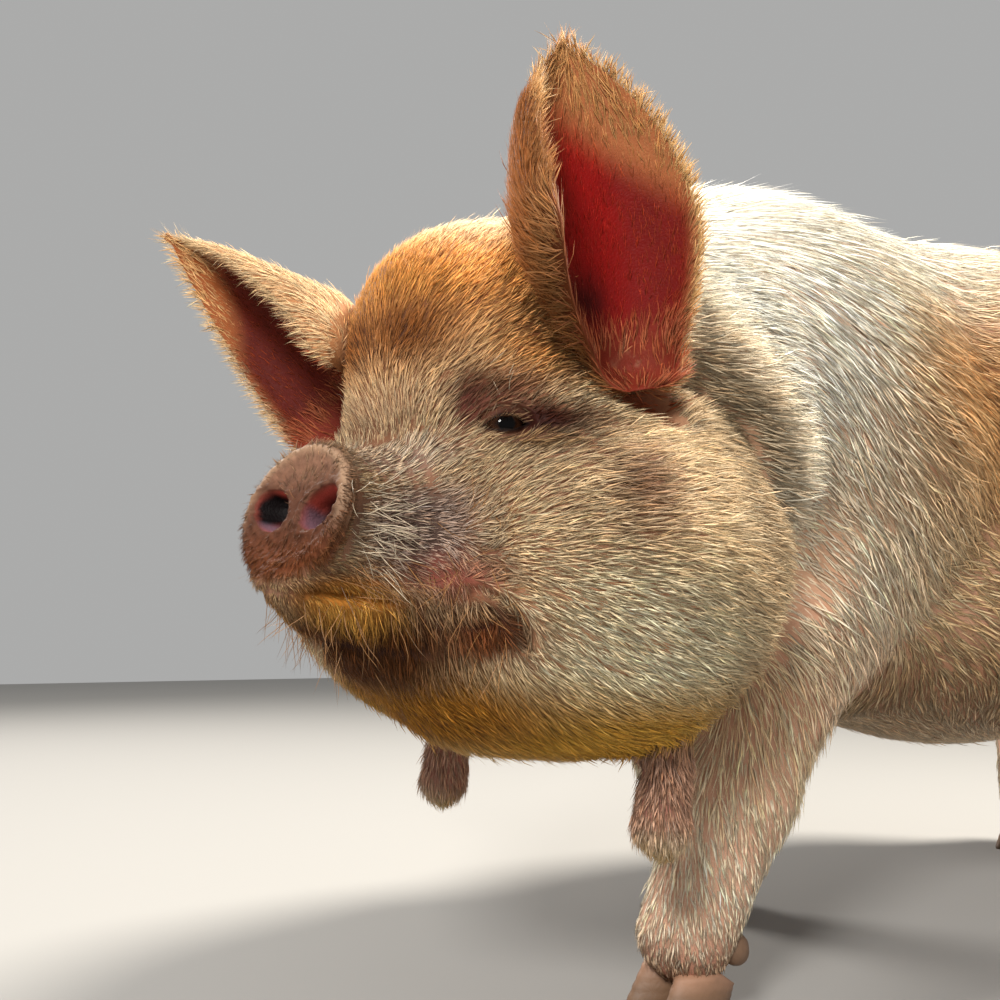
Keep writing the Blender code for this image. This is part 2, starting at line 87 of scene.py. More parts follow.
blends = {"legRun": 0.03, "legRoot": 0.05, "headRoot": 0.035, "tailRun": 0.01, "tailRoot": 0.015,
          "wattleRun": 0.01, "wattleRoot": 0.012, "midline": 0.006}


# The body is one field: nought on its surface, below nought inside.
# Rows are a turned frame's left, back and up: yaw about Z, then pitch about X, then roll about Y.
def rowsOf(turn):
    yaw, pitch, roll = (math.radians(angle) for angle in turn)
    aboutZ = np.array([[math.cos(yaw), -math.sin(yaw), 0], [math.sin(yaw), math.cos(yaw), 0], [0, 0, 1]])
    aboutX = np.array([[1, 0, 0], [0, math.cos(pitch), math.sin(pitch)], [0, -math.sin(pitch), math.cos(pitch)]])
    aboutY = np.array([[math.cos(roll), 0, math.sin(roll)], [0, 1, 0], [-math.sin(roll), 0, math.cos(roll)]])
    return (aboutZ @ aboutX @ aboutY).T


headRows = rowsOf(pose["headTurn"])
discRows = rowsOf(snoutFace["turn"])


def toHead(points):  # from the body's frame to the head's
    return (points - np.array(pose["headCentre"])) @ headRows.T


def fromHead(points):  # from the head's frame to the body's
    return np.asarray(points, float) @ headRows + np.array(pose["headCentre"])


def unit(vectors):  # each row divided by its length
    return vectors / np.maximum(np.linalg.norm(vectors, axis=-1, keepdims=True), 1e-12)


def ease(value, low, high):  # 0 below low, 1 above high, smooth between
    t = np.clip((value - low) / (high - low), 0, 1)
    return t * t * (3 - 2 * t)


# An egg's distance is its scaled radius k times (k - 1), over the slope of k.
def eggField(points, centre, radii, turn):
    local = (points - np.array(centre)) @ rowsOf(turn).T
    near = np.linalg.norm(local / radii, axis=1)
    slope = np.linalg.norm(local / np.square(radii), axis=1)
    return near * (near - 1) / np.maximum(slope, 1e-9)


# A limb is two balls and the cone that touches both.
def limbField(points, start, startRadius, end, endRadius):
    along = np.array(end) - np.array(start)
    length = np.linalg.norm(along)
    lean = (startRadius - endRadius) / length
    offset = points - np.array(start)
    down = offset @ along / length
    out = np.sqrt(np.maximum((offset ** 2).sum(1) - down ** 2, 0))
    rise = math.sqrt(1 - lean ** 2)
    where = down * rise - out * lean
    side = out * rise + down * lean - startRadius
    first = np.hypot(out, down) - startRadius
    last = np.hypot(out, down - length) - endRadius
    return np.where(where < 0, first, np.where(where > rise * length, last, side))


def blend(first, second, width):  # the lesser of two fields, rounded where they meet
    near = np.maximum(width - np.abs(first - second), 0) / width
    return np.minimum(first, second) - near ** 3 * width / 6


def blendAll(pieces):  # fields blended in turn, each with its own width
    total = None
    for piece, width in pieces:
        total = piece if total is None else blend(total, piece, width)
    return total


def eggsField(points, eggs):
    return blendAll((eggField(points, *egg[:3]), egg[3]) for egg in eggs.values())


def runField(points, run, width):  # a chain of limbs
    return blendAll((limbField(points, *first, *last), width) for first, last in zip(run[:-1], run[1:]))


def folded(local):  # the head's right half laid over its left, softly at the midline
    result = local.copy()
    result[:, 0] = np.sqrt(result[:, 0] ** 2 + blends["midline"] ** 2)
    return result


def leftHalf(points):  # the right half laid over the left
    result = points.copy()
    result[:, 0] = np.abs(result[:, 0])
    return result


def toDiscFrame(local):  # from the head's frame to the snout face's: left, back and up from its centre
    return (local - np.array(snoutFace["centre"])) @ discRows.T


def headField(points):
    local = folded(toHead(points))
    total = eggsField(local, headEggs)
    for *limb, width in headLimbs:
        total = blend(total, limbField(local, *limb), width)
    beyondFace = -toDiscFrame(local)[:, 1] - snoutFace["before"]
    total = -blend(-total, -beyondFace, snoutFace["rim"])
    return blend(total, runField(local, wattleRun, blends["wattleRun"]), blends["wattleRoot"])


def pigField(points):
    total = blend(eggsField(points, trunkEggs), limbField(points, *neckLimb[:4]), neckLimb[4])
    for leg in legRuns.values():
        total = blend(total, runField(points, leg, blends["legRun"]), blends["legRoot"])
    total = blend(total, headField(points), blends["headRoot"])
    return blend(total, runField(points, tailRun, blends["tailRun"]), blends["tailRoot"])


def fieldSlope(points):  # the field's change along X, Y and Z, by small steps
    step = 0.001
    return np.stack([pigField(points + s) - pigField(points - s) for s in np.eye(3) * step], axis=1) / (2 * step)


skinDepths = {  # by place along the head and by height: least on the snout and feet, most on the trunk
    "face": ([-0.1, -0.055, 0.0, 0.06, 0.16, 0.24], [0.0008, 0.0016, 0.0026, 0.004, 0.0065, 0.009]),
    "body": ([0.0, 0.06, 0.14, 0.24, 0.32], [0.001, 0.0014, 0.003, 0.006, 0.0095]),
    "tail": 0.003, "tailFrom": (0.8, 0.84), "headReach": (-0.3, -0.22),
}


def onTail(points):  # 1 on the tail, 0 ahead of it
    return ease(points[:, 1], *skinDepths["tailFrom"])


def coatDepth(points):  # how far the skin lies under the coat's outside
    local = toHead(points)
    face = np.interp(local[:, 1], *skinDepths["face"])
    inHead = ease(-np.linalg.norm(local * (1, 0.8, 1), axis=1), *skinDepths["headReach"])
    body = np.interp(points[:, 2], *skinDepths["body"])
    tail = onTail(points)
    body = body * (1 - tail) + skinDepths["tail"] * tail
    return np.where(inHead > 0, face * inHead + body * (1 - inHead), body)


def settle(points, rounds):  # moves points to the skin, along the field's slope
    for _ in range(rounds):
        value = np.clip(pigField(points) + coatDepth(points), -0.02, 0.02)
        slope = fieldSlope(points)
        points = points - (value / ((slope ** 2).sum(1) + 1e-6))[:, None] * slope * 0.9
    return points


eye = {"centre": (0.065, -0.001, -0.0092), "radius": 0.0125, "facing": (0.8, -0.58, 0.1),
       "level": (0.788, 0.61, 0.086), "halfOpening": 0.011, "up": 0.0044, "down": 0.0036, "tilt": 0.06,
       "lid": 0.0011, "iris": (46, 26, 15), "irisEdge": (14, 8, 6), "pupil": (3, 2, 2),
       "rimColour": (16, 8, 6), "white": (70, 42, 34), "cornea": (0.05, 0.18), "irisReach": (0.74, 0.8),
       "irisEdgeReach": (0.62, 0.76), "pupilReach": (0.34, 0.4)}
low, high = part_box("eye_left")
shift = np.array((low + high) / 2) - fromHead(eye["centre"])  # from these sizes' own origin to the frame's


# The camera's axes are right, ahead and above, from its azimuth and its upward tilt.
camera = {"place": (0.6726, -0.5275, 0.26), "azimuth": 61.0, "upward": 8.2, "lens": 35.1, "sensor": 36.0}
azimuth, upward = math.radians(camera["azimuth"]), math.radians(camera["upward"])
straightUp = np.array([0, 0, 1])
right = np.array([math.cos(azimuth), math.sin(azimuth), 0])
onwardWay = np.array([-math.sin(azimuth), math.cos(azimuth), 0])
ahead = onwardWay * math.cos(upward) + straightUp * math.sin(upward)
above = -onwardWay * math.sin(upward) + straightUp * math.cos(upward)


def newObject(name, data):
    made = bpy.data.objects.new(name, data)
    bpy.context.scene.collection.objects.link(made)
    return made


def standAt(thing, across, up, back, place):  # puts an object at a place, with its own X, Y and Z along three ways
    thing.matrix_world = Matrix([[across[i], up[i], back[i], place[i]] for i in range(3)] + [[0, 0, 0, 1]])


cameraData = bpy.data.cameras.new("camera")
cameraData.sensor_width = camera["sensor"]
cameraData.lens = camera["lens"]
cameraData.clip_start = 0.01
cameraObject = newObject("camera", cameraData)
standAt(cameraObject, right, above, -ahead, np.array(camera["place"]) + shift)
bpy.context.scene.camera = cameraObject


def newPiece(name, points, *faceSets):  # points in the body's frame, faces as arrays of three or four corners
    mesh = bpy.data.meshes.new(name)
    sizes = np.concatenate([np.full(len(faces), faces.shape[1]) for faces in faceSets])
    corners = np.concatenate([faces.ravel() for faces in faceSets]).astype(np.int32)
    mesh.vertices.add(len(points))
    mesh.loops.add(len(corners))
    mesh.polygons.add(len(sizes))
    mesh.vertices.foreach_set("co", (points + shift).astype(np.float32).ravel())
    mesh.loops.foreach_set("vertex_index", corners)
    mesh.polygons.foreach_set("loop_start", np.concatenate([[0], np.cumsum(sizes)[:-1]]).astype(np.int32))
    mesh.polygons.foreach_set("use_smooth", np.ones(len(sizes), bool))
    mesh.update(calc_edges=True)
    return newObject(name, mesh)


def pointsOf(mesh, kind="co"):  # vertex places in the body's frame, or vertex normals
    flat = np.empty(len(mesh.vertices) * 3, np.float32)
    if kind == "normal":
        mesh.vertex_normals.foreach_get("vector", flat)
        return flat.reshape(-1, 3).astype(float)
    mesh.vertices.foreach_get("co", flat)
    return flat.reshape(-1, 3).astype(float) - shift


def putPoints(mesh, points):
    mesh.vertices.foreach_set("co", (points + shift).astype(np.float32).ravel())
    mesh.update()


def putColours(mesh, colours):  # one colour for each vertex
    layer = mesh.color_attributes.new("tint", "FLOAT_COLOR", "POINT")
    layer.data.foreach_set("color", np.column_stack([colours, np.ones(len(colours))]).astype(np.float32).ravel())


def putVectors(mesh, vectors, name):
    layer = mesh.attributes.new(name, "FLOAT_VECTOR", "POINT")
    layer.data.foreach_set("vector", vectors.astype(np.float32).ravel())


def evaluated(thing):  # puts the mesh that an object's modifiers give in place of its own
    mesh = bpy.data.meshes.new_from_object(thing.evaluated_get(bpy.context.evaluated_depsgraph_get()))
    thing.modifiers.clear()
    thing.data = mesh


# A unit ball: rings of latitude by segments of longitude, with one point at each pole.
def ballGrid(rings, segments):
    polar = np.linspace(0, math.pi, rings + 1)[1:-1]
    turn = np.arange(segments) * 2 * math.pi / segments
    ring = np.stack([np.outer(np.sin(polar), np.cos(turn)), np.outer(np.sin(polar), np.sin(turn)),
                     np.outer(np.cos(polar), np.ones(segments))], -1).reshape(-1, 3)
    points = np.concatenate([ring, [[0, 0, 1]], [[0, 0, -1]]])
    index = np.arange((rings - 1) * segments).reshape(rings - 1, segments)
    after = np.roll(index, -1, axis=1)
    quads = np.stack([index[:-1], index[1:], after[1:], after[:-1]], -1).reshape(-1, 4)
    top = np.full(segments, len(ring))
    caps = np.concatenate([np.stack([top, index[0], after[0]], 1), np.stack([top + 1, after[-1], index[-1]], 1)])
    return points, quads, caps


def gridFaces(rows, columns, wrap):  # quads of a grid of points, closed round its columns where wrap is true
    index = np.arange(rows * columns).reshape(rows, columns)
    after = np.roll(index, -1, axis=1)
    quads = np.stack([index[:-1], after[:-1], after[1:], index[1:]], -1)
    return (quads if wrap else quads[:, :-1]).reshape(-1, 4)


def repeated(faces, count, stride):  # the same faces on each of many like shapes, one after another
    return (faces + (np.arange(count) * stride)[:, None, None]).reshape(-1, faces.shape[-1])


def facesOutward(made):  # every face turned to look out of its mesh
    shape = bmesh.new()
    shape.from_mesh(made.data)
    bmesh.ops.recalc_face_normals(shape, faces=shape.faces[:])
    shape.to_mesh(made.data)
    shape.free()


def tone(red, green, blue):  # sRGB bytes to the linear values that shaders use
    value = np.array([red, green, blue]) / 255
    return np.where(value <= 0.04045, value / 12.92, ((value + 0.055) / 1.055) ** 2.4)


baseColours = {"hair": (232, 202, 158), "skin": (198, 152, 126), "ginger": (208, 140, 78)}
lowColours = (  # heights that it fades over, strength, hair, skin
    ((0.1, 0.26), 0.8, (255, 236, 210), (204, 162, 138)),
    ((0.03, 0.09), 1.0, (160, 124, 96), (146, 98, 80)),
)
bodyPatches = {  # centre, half sizes, softness, hair, skin; mirrored about x = 0
    "back": ((0.0, 0.46, 0.7), (0.25, 0.62, 0.16), 0.7, (242, 212, 168), (176, 124, 84)),
    "mane": ((0.05, 0.08, 0.61), (0.21, 0.34, 0.13), 0.8, (253, 244, 226), (214, 184, 156)),
    "shoulder": ((0.17, -0.05, 0.46), (0.15, 0.13, 0.18), 0.5, (255, 248, 230), (206, 170, 142)),
    "shoulderLow": ((0.2, 0.02, 0.33), (0.09, 0.1, 0.12), 0.8, (246, 224, 196), (190, 150, 122)),
    "flank": ((0.23, 0.18, 0.45), (0.09, 0.12, 0.12), 0.7, (224, 166, 106), (156, 104, 70)),
    "side": ((0.24, 0.4, 0.4), (0.1, 0.3, 0.16), 0.8, (206, 170, 122), (168, 124, 92)),
    # The belly is darker: partly its own colour, partly painted shade on the underside.
    "belly": ((0.0, 0.38, 0.2), (0.24, 0.4, 0.13), 0.5, (174, 142, 102), (150, 106, 78)),
    "armpit": ((0.16, 0.05, 0.24), (0.06, 0.07, 0.08), 0.7, (240, 208, 178), (176, 124, 102)),
    "ham": ((0.14, 0.66, 0.38), (0.1, 0.16, 0.16), 0.8, (222, 180, 128), (186, 138, 108)),
}
headPatches = {
    "face": ((0.03, 0.03, -0.05), (0.14, 0.14, 0.16), 0.4, (234, 202, 158), (134, 92, 66)),
    "forehead": ((0.0, 0.02, 0.085), (0.11, 0.11, 0.085), 0.5, (236, 160, 80), (110, 62, 28)),
    "crown": ((0.0, 0.045, 0.124), (0.09, 0.08, 0.042), 0.7, (244, 214, 172), (150, 100, 60)),
    "brow": ((0.088, 0.004, 0.03), (0.04, 0.03, 0.022), 0.8, (250, 178, 108), (122, 72, 40)),
    "foreheadDark": ((0.02, -0.04, 0.04), (0.038, 0.03, 0.022), 0.8, (160, 100, 52), (66, 38, 24)),
    "frown": ((0.0, -0.036, 0.0), (0.05, 0.03, 0.013), 0.8, (204, 170, 132), (110, 76, 56)),
    "bridge": ((0.02, -0.045, -0.028), (0.05, 0.04, 0.014), 0.6, (242, 214, 184), (122, 94, 80)),
    "muzzle": ((0.045, -0.045, -0.068), (0.04, 0.042, 0.028), 0.5, (190, 164, 148), (74, 57, 50)),
    "muzzleRim": ((0.084, -0.03, -0.062), (0.009, 0.012, 0.03), 0.8, (210, 188, 156), (116, 84, 66)),
    "cheek": ((0.12, 0.01, -0.055), (0.06, 0.06, 0.06), 0.6, (234, 202, 160), (134, 92, 68)),
    # templeShade: a darker streak of painted shade on the temple.
    "templeShade": ((0.142, 0.016, -0.04), (0.018, 0.022, 0.03), 0.9, (144, 106, 76), (70, 46, 34)),
    "jowlBack": ((0.14, 0.12, -0.05), (0.07, 0.07, 0.12), 0.6, (198, 172, 136), (140, 104, 76)),
    # jowlSideLit: the jowl's cream hair, paled further with painted light from below.
    "jowlSideLit": ((0.14, 0.02, -0.125), (0.06, 0.08, 0.045), 0.8, (255, 238, 200), (166, 124, 92)),
    # jowlLow: golden hair over skin that is partly its own dark tone, partly painted shade on the underside.
    "jowlLow": ((0.09, 0.06, -0.18), (0.12, 0.12, 0.04), 0.7, (216, 164, 66), (96, 66, 30)),
    "throat": ((0.02, -0.01, -0.162), (0.075, 0.06, 0.03), 0.6, (188, 128, 46), (104, 62, 22)),
    "lip": ((0.062, -0.034, -0.0905), (0.036, 0.03, 0.013), 0.8, (178, 124, 100), (116, 62, 52)),
    "lipFront": ((0.02, -0.08, -0.099), (0.036, 0.032, 0.013), 0.6, (154, 100, 46), (86, 48, 24)),
    "chin": ((0.0, -0.055, -0.124), (0.092, 0.064, 0.03), 0.5, (104, 60, 26), (48, 24, 12)),
    "chinGold": ((0.027, -0.071, -0.106), (0.03, 0.028, 0.012), 0.8, (246, 182, 88), (180, 116, 46)),
    "chinShade": ((0.074, -0.022, -0.117), (0.036, 0.028, 0.014), 0.7, (148, 86, 48), (62, 32, 20)),
    # Round the sunken eye the colour is partly the bare skin's own dark tone, partly painted shade under the brow and
    # upper lid.
    "upperLidShade": ((0.08, -0.014, 0.007), (0.028, 0.026, 0.011), 0.8, (138, 82, 56), (96, 48, 36)),
    "eyeRing": ((0.093, -0.004, -0.009), (0.045, 0.036, 0.014), 0.7, (76, 34, 20), (46, 18, 12)),
    "eyeCorner": ((0.058, -0.025, 0.001), (0.019, 0.017, 0.019), 0.8, (84, 38, 26), (74, 27, 21)),
    "underEye": ((0.095, -0.01, -0.024), (0.036, 0.024, 0.007), 0.8, (172, 134, 92), (92, 60, 46)),
    "wattle": ((0.093, 0.118, -0.205), (0.034, 0.034, 0.042), 0.3, (186, 144, 120), (144, 94, 82)),
    "wattleEnd": ((0.093, 0.114, -0.252), (0.034, 0.034, 0.02), 0.6, (206, 170, 110), (150, 104, 84)),
}
# holeShade is painted shade inside the nostrils.
discColours = {"hair": (120, 82, 58), "skin": (86, 54, 40), "topHair": (168, 134, 104), "topSkin": (124, 90, 72),
               "lowHair": (122, 72, 40), "lowSkin": (94, 50, 28), "red": (196, 84, 72), "holeShade": (10, 5, 6),
               # wet is a painted reflection on the wet lower part of a nostril.
               "wet": (92, 84, 98), "ridge": (176, 146, 118)}


def mixTones(colours, weight, colour):  # colours moved by a weight towards one colour
    return colours + (tone(*colour) - colours) * weight[:, None]


def mixBoth(pair, weight, hairColour, skinColour):
    return mixTones(pair[0], weight, hairColour), mixTones(pair[1], weight, skinColour)


def plain(colour, count):  # one colour for each of many points
    return np.tile(tone(*colour), (count, 1))


def patchWeight(local, centre, radii, soft):  # 1 in the middle of a patch, 0 outside it
    reach = np.linalg.norm((local - np.array(centre)) / radii, axis=1)
    return 1 - ease(reach, 1 - soft, 1 + soft * 0.5)


def waves(points, scale, seed):  # slow smooth noise: a few crossed sine waves
    draw = np.random.default_rng(seed)
    total = np.zeros(len(points))
    for turn in unit(draw.normal(size=(6, 3))):
        total += np.sin(points @ turn * scale * draw.uniform(0.6, 1.6) + draw.uniform(0, 6.28))
    return total / 3.5


def discPlace(points):
    return toDiscFrame(toHead(points))


def discReach(disc):  # 0 in the middle of the snout's face, 1 at its edge
    return np.hypot(disc[:, 0] / snoutFace["halfWidth"], disc[:, 2] / snoutFace["halfHeight"])


def markings(points):  # the hair's and the skin's colours at any place on the body
    pair = [plain(baseColours[key], len(points)) for key in ("hair", "skin")]
    wander = np.stack([waves(points, 28, seed) for seed in (1, 2, 3)], 1) * 0.012
    body = leftHalf(points + wander)
    for centre, radii, soft, *colours in bodyPatches.values():
        pair = mixBoth(pair, patchWeight(body, centre, radii, soft), *colours)
    for heights, strength, *colours in lowColours:
        pair = mixBoth(pair, (1 - ease(points[:, 2], *heights)) * strength, *colours)
    ginger = ease(waves(points * (1, 0.5, 1), 22, 5), 0.2, 0.9) * ease(points[:, 2], 0.34, 0.56) * 0.45
    pair = mixTones(pair[0], ginger, baseColours["ginger"]), pair[1]
    local = leftHalf(toHead(points) + wander * 0.35)
    for centre, radii, soft, *colours in headPatches.values():
        pair = mixBoth(pair, patchWeight(local, centre, radii, soft), *colours)
    disc = discPlace(points)
    height = disc[:, 2] / snoutFace["halfHeight"]
    onDisc = (1 - ease(discReach(disc), 1.0, 1.15)) * (1 - ease(disc[:, 1], 0.004, 0.01))
    upper, lower = ease(height, 0.1, 0.8), ease(-height, 0.1, 0.8)
    for colours, (middle, top, bottom) in zip(pair, (("hair", "topHair", "lowHair"), ("skin", "topSkin", "lowSkin"))):
        own = mixTones(plain(discColours[middle], len(points)), upper, discColours[top])
        colours += (mixTones(own, lower, discColours[bottom]) - colours) * onDisc[:, None]
    return np.clip(pair[0], 0, 1), np.clip(pair[1], 0, 1)


skinSizes = {"voxel": 0.0092, "nostril": (0.0215, 0.0005), "nostrilRadii": (0.0162, 0.0118),
             "nostrilDepth": 0.02, "nostrilTilt": 24.0, "nostrilSlant": (-0.25, 1.0, 0.18),
             "refine": ({"face": 0.19}, {"eye": 0.046, "disc": 0.07, "mouth": 0.026},
                        {"eye": 0.026, "disc": 0.05, "mouth": 0.009}, {"eye": 0.0165, "nostril": 0.04})}
creases = {  # line in the head's frame, depth, width, how much the upper side swells
    "mouth": (((0.0, -0.0985, -0.0985), (0.02, -0.09, -0.1), (0.03, -0.07, -0.103), (0.039, -0.047, -0.1045),
               (0.052, -0.032, -0.102), (0.078, -0.029, -0.0985), (0.0905, -0.0251, -0.103),
               (0.0955, -0.02, -0.11)), 0.005, 0.0022, 0.0022),
    "chinFold": (((0.0, -0.075, -0.129), (0.02, -0.058, -0.129), (0.038, -0.031, -0.1305), (0.07, -0.017, -0.129),
                  (0.093, -0.014, -0.123)), 0.005, 0.006, 0.0),
    "mouthCorner": (((0.0905, -0.025, -0.104), (0.0965, -0.015, -0.118), (0.094, -0.012, -0.132)),
                    0.004, 0.0045, 0.0008),
    "snoutBack": (((0.0, -0.0745, -0.018), (0.026, -0.074, -0.026), (0.04, -0.075, -0.048),
                   (0.04, -0.078, -0.072), (0.03, -0.083, -0.09)), 0.0028, 0.0036, 0.0),
    "chinSide": (((0.085, -0.022, -0.11), (0.07, -0.022, -0.116), (0.052, -0.028, -0.116)), 0.004, 0.0045, 0.001),
    "snoutFold": (((0.0, -0.06, -0.014), (0.024, -0.06, -0.022), (0.042, -0.06, -0.044),
                   (0.045, -0.062, -0.068)), 0.0012, 0.0026, 0.0),
    "noseFold": (((0.03, -0.042, -0.023), (0.048, -0.044, -0.044), (0.05, -0.046, -0.07)),
                 0.0012, 0.003, 0.0),
    "lowerLid": (((0.064, -0.027, -0.016), (0.08, -0.0175, -0.023), (0.099, -0.005, -0.021),
                  (0.114, 0.006, -0.018)), 0.0016, 0.0026, 0.0006),
    "lidCorner": (((0.09, -0.002, -0.007), (0.101, 0.005, -0.009), (0.114, 0.01, -0.017),
                   (0.129, 0.012, -0.034)), 0.0018, 0.003, 0.0006),
    "innerCorner": (((0.066, -0.02, -0.008), (0.061, -0.025, -0.003), (0.06, -0.024, 0.006)),
                    0.0016, 0.0022, 0.0005),
    "browFold": (((0.06, -0.02, 0.012), (0.076, -0.006, 0.012), (0.09, 0.008, 0.008),
                  (0.101, 0.017, -0.001)), 0.0016, 0.0036, 0.0005),
    "jowlBack": (((0.12, 0.09, 0.04), (0.137, 0.14, 0.01), (0.146, 0.172, -0.04), (0.146, 0.16, -0.1),
                  (0.142, 0.112, -0.15)), 0.014, 0.013, 0.004),
    "muzzleEdge": (((0.0421, -0.0333, -0.0177), (0.0558, -0.0309, -0.0268), (0.068, -0.0289, -0.0361),
                    (0.0861, -0.0291, -0.0607), (0.085, -0.03, -0.08)), 0.0018, 0.007, 0.001),
    "stop": (((0.0, -0.04, -0.012), (0.0201, -0.0362, -0.0103), (0.0421, -0.0333, -0.016)), 0.0018, 0.007, 0.001),
}
bodyCreases = {  # line in the body's frame, depth, width; mirrored
    "elbow": (((0.236, 0.06, 0.4), (0.222, 0.072, 0.33), (0.2, 0.06, 0.26), (0.165, 0.035, 0.2)),
              0.006, 0.018),
    "flank": (((0.205, 0.47, 0.4), (0.198, 0.505, 0.33), (0.176, 0.53, 0.27)), 0.004, 0.024),
}
ears = {  # the front half may be tucked in at the root and curled over, and the heel comes forward
    "left": {"root": (0.089, 0.064, 0.04), "tip": (0.088, 0.01, 0.224), "broad": (0.5, 0.86, 0.0), "hand": 1,
             "rootShare": 0.62, "widest": 0.4, "blunt": 2.1, "tuck": 0.46, "curl": (28.0, 62.0), "frontWide": 1.15,
             "heel": 0.03},
    "right": {"root": (-0.1, 0.03, 0.05), "tip": (-0.232, -0.066, 0.162), "broad": (-0.55, 0.2, -0.78), "hand": -1,
              "rootShare": 1.0, "widest": 0.1, "blunt": 1.3, "tuck": 0.0, "curl": (48.0, 48.0), "frontWide": 1.12,
              "heel": 0.012},
}
earSizes = {"halfWidth": 0.056, "inset": 0.0035, "least": 0.0025, "shorten": 0.945, "rootDepth": 0.11,
            "cup": (80.0, 38.0), "rows": 56, "columns": 37, "wall": 0.0036, "edgeWall": 0.0014,
            "rootWall": 0.007, "ridge": 0.0008, "pit": 0.012}


# Distance from points to a line of several stretches, the share of the way along it, and the offset to it.
def nearLine(points, line):
    line = np.array(line)
    best = np.full(len(points), 9.0)
    along = np.zeros(len(points))
    offset = np.zeros((len(points), 3))
    for index, (start, end) in enumerate(zip(line[:-1], line[1:])):
        stretch = end - start
        t = np.clip((points - start) @ stretch / (stretch @ stretch), 0, 1)
        gap = points - start - t[:, None] * stretch
        far = np.linalg.norm(gap, axis=1)
        closer = far < best
        best, along = np.where(closer, far, best), np.where(closer, (index + t) / (len(line) - 1), along)
        offset = np.where(closer[:, None], gap, offset)
    return best, along, offset


def mirrorSide(local):  # the left half's place of each point, and its side as 1 or -1
    side = np.where(local[:, 0] < 0, -1.0, 1.0)
    return local * np.stack([side, np.ones(len(side)), np.ones(len(side))], 1), side


# Eye axes: out along the gaze, level from the inner to the outer corner, and up.
gaze = unit(np.array(eye["facing"]))
eyeLevel = unit(np.array(eye["level"]) - gaze * (np.array(eye["level"]) @ gaze))
eyeUp = np.cross(gaze, eyeLevel) * (1 if np.cross(gaze, eyeLevel)[2] > 0 else -1)


def eyePlace(local):  # level, up and out from the eye's centre, and how far inside the almond of the lids
    offset = local - np.array(eye["centre"])
    level, up, out = offset @ eyeLevel, offset @ eyeUp, offset @ gaze
    bow = np.maximum(1 - (level / eye["halfOpening"]) ** 2, -1.5)
    tilt = level * eye["tilt"]
    inside = np.minimum(eye["up"] * bow - (up - tilt), (up - tilt) + eye["down"] * bow)
    return level, up, out, inside


def nostrilPlace(disc):  # scaled distance from the middle of the nearer nostril, 1 at its edge
    tilt = math.radians(skinSizes["nostrilTilt"])
    across = np.abs(disc[:, 0]) - skinSizes["nostril"][0]
    upward = disc[:, 2] - skinSizes["nostril"][1]
    first = across * math.cos(tilt) + upward * math.sin(tilt)
    second = upward * math.cos(tilt) - across * math.sin(tilt)
    return np.hypot(first / skinSizes["nostrilRadii"][0], second / skinSizes["nostrilRadii"][1])


def nostrilSlant(disc):  # how far a nostril has run aside at a depth behind the disc's face
    depth = np.clip(disc[:, 1], 0, 0.03)
    aside, _, upward = skinSizes["nostrilSlant"]
    return np.stack([aside * depth * np.sign(disc[:, 0]), 0 * depth, upward * depth], 1)


def earFrame(ear):  # root, axis from root to tip, the way across, and the way that the hollow faces
    root, tip, broad = (np.array(ear[key], float) for key in ("root", "tip", "broad"))
    axis = tip - root
    broad = unit(broad - axis * (broad @ axis) / (axis @ axis))
    return root, axis, broad, unit(np.cross(broad, axis)) * ear["hand"]


# How deep a place of the head lies inside an ear's tube, 1 on its middle, and the way down the tube.
def earHollow(local, near=0.6, far=0.95):
    best = np.zeros(len(local))
    way = np.zeros((len(local), 3))
    for ear in ears.values():
        root, axis, broad, facing = earFrame(ear)
        offset = local - root
        along, across, before = offset @ axis / (axis @ axis), offset @ broad, offset @ facing
        wide = earSizes["halfWidth"] * ear["rootShare"] - earSizes["inset"]
        radius = wide * (1 - ear["tuck"] * ease(-across, -0.006, 0.014))
        reach = np.hypot(across, before - radius) / radius
        inside = (1 - ease(reach, near, far)) * (1 - ease(before, radius * 1.1, radius * 1.7))
        inside *= ease(along, -0.3, -0.1) * (1 - ease(along, 0.45, 0.7))
        way = np.where((inside > best)[:, None], -unit(unit(axis) * 1.3 + facing * 0.7), way)
        best = np.maximum(best, inside)
    return best, way


creaseShape = {"swellAt": 2.6, "swellWidth": 1.6, "swellBelow": 0.45,  # in widths; share of the lower side
               "loose": (0.0012, 90, 8), "wrinkle": 0.00035, "wrinklePace": 900}


# Creases sink as a bell over the distance to their line, and their upper side swells as a wider bell.
def creasePush(points, local):
    push = np.zeros(len(points))
    for line, depth, width, swell in creases.values():
        far, along, offset = nearLine(local, line)
        ends = ease(-along, -1.02, -0.85)
        if line[0][0] > 0:  # a line that starts off the midline fades in as well
            ends = ease(along, -0.02, 0.1) * ends
        push -= depth * (np.exp(-(far / width) ** 2) * ends)
        upper = np.exp(-((far - width * creaseShape["swellAt"]) / (width * creaseShape["swellWidth"])) ** 2) * ends
        push += swell * upper * np.where(offset[:, 2] > 0, 1.0, creaseShape["swellBelow"])
    body = leftHalf(points)
    for line, depth, width in bodyCreases.values():
        far, along, _ = nearLine(body, line)
        push -= depth * (np.exp(-(far / width) ** 2) * ease(along, -0.02, 0.2) * ease(-along, -1.02, -0.8))
    back, height = local[:, 1], local[:, 2]
    loose = ease(-np.abs(back - 0.1), -0.16, -0.06) * ease(back, 0.02, 0.08)
    depth, scale, seed = creaseShape["loose"]
    push += waves(points, scale, seed) * depth * loose
    wrinkle = np.sin(back * creaseShape["wrinklePace"] + waves(points, 120, 9) * 1.2)
    wrinkle = wrinkle * ease(-np.abs(back + 0.045), -0.03, -0.01) * ease(height, -0.09, -0.06)
    return push + wrinkle * creaseShape["wrinkle"]


lidSizes = {"mound": (0.007, 0.0125), "moundWide": 1.35, "ripple": 0.0005, "rippleLength": 0.0042, "rippleTo": 0.012,
            "rippleFades": (0.016, 0.026), "ahead": (0.002, 0.006), "sunk": 0.0022}


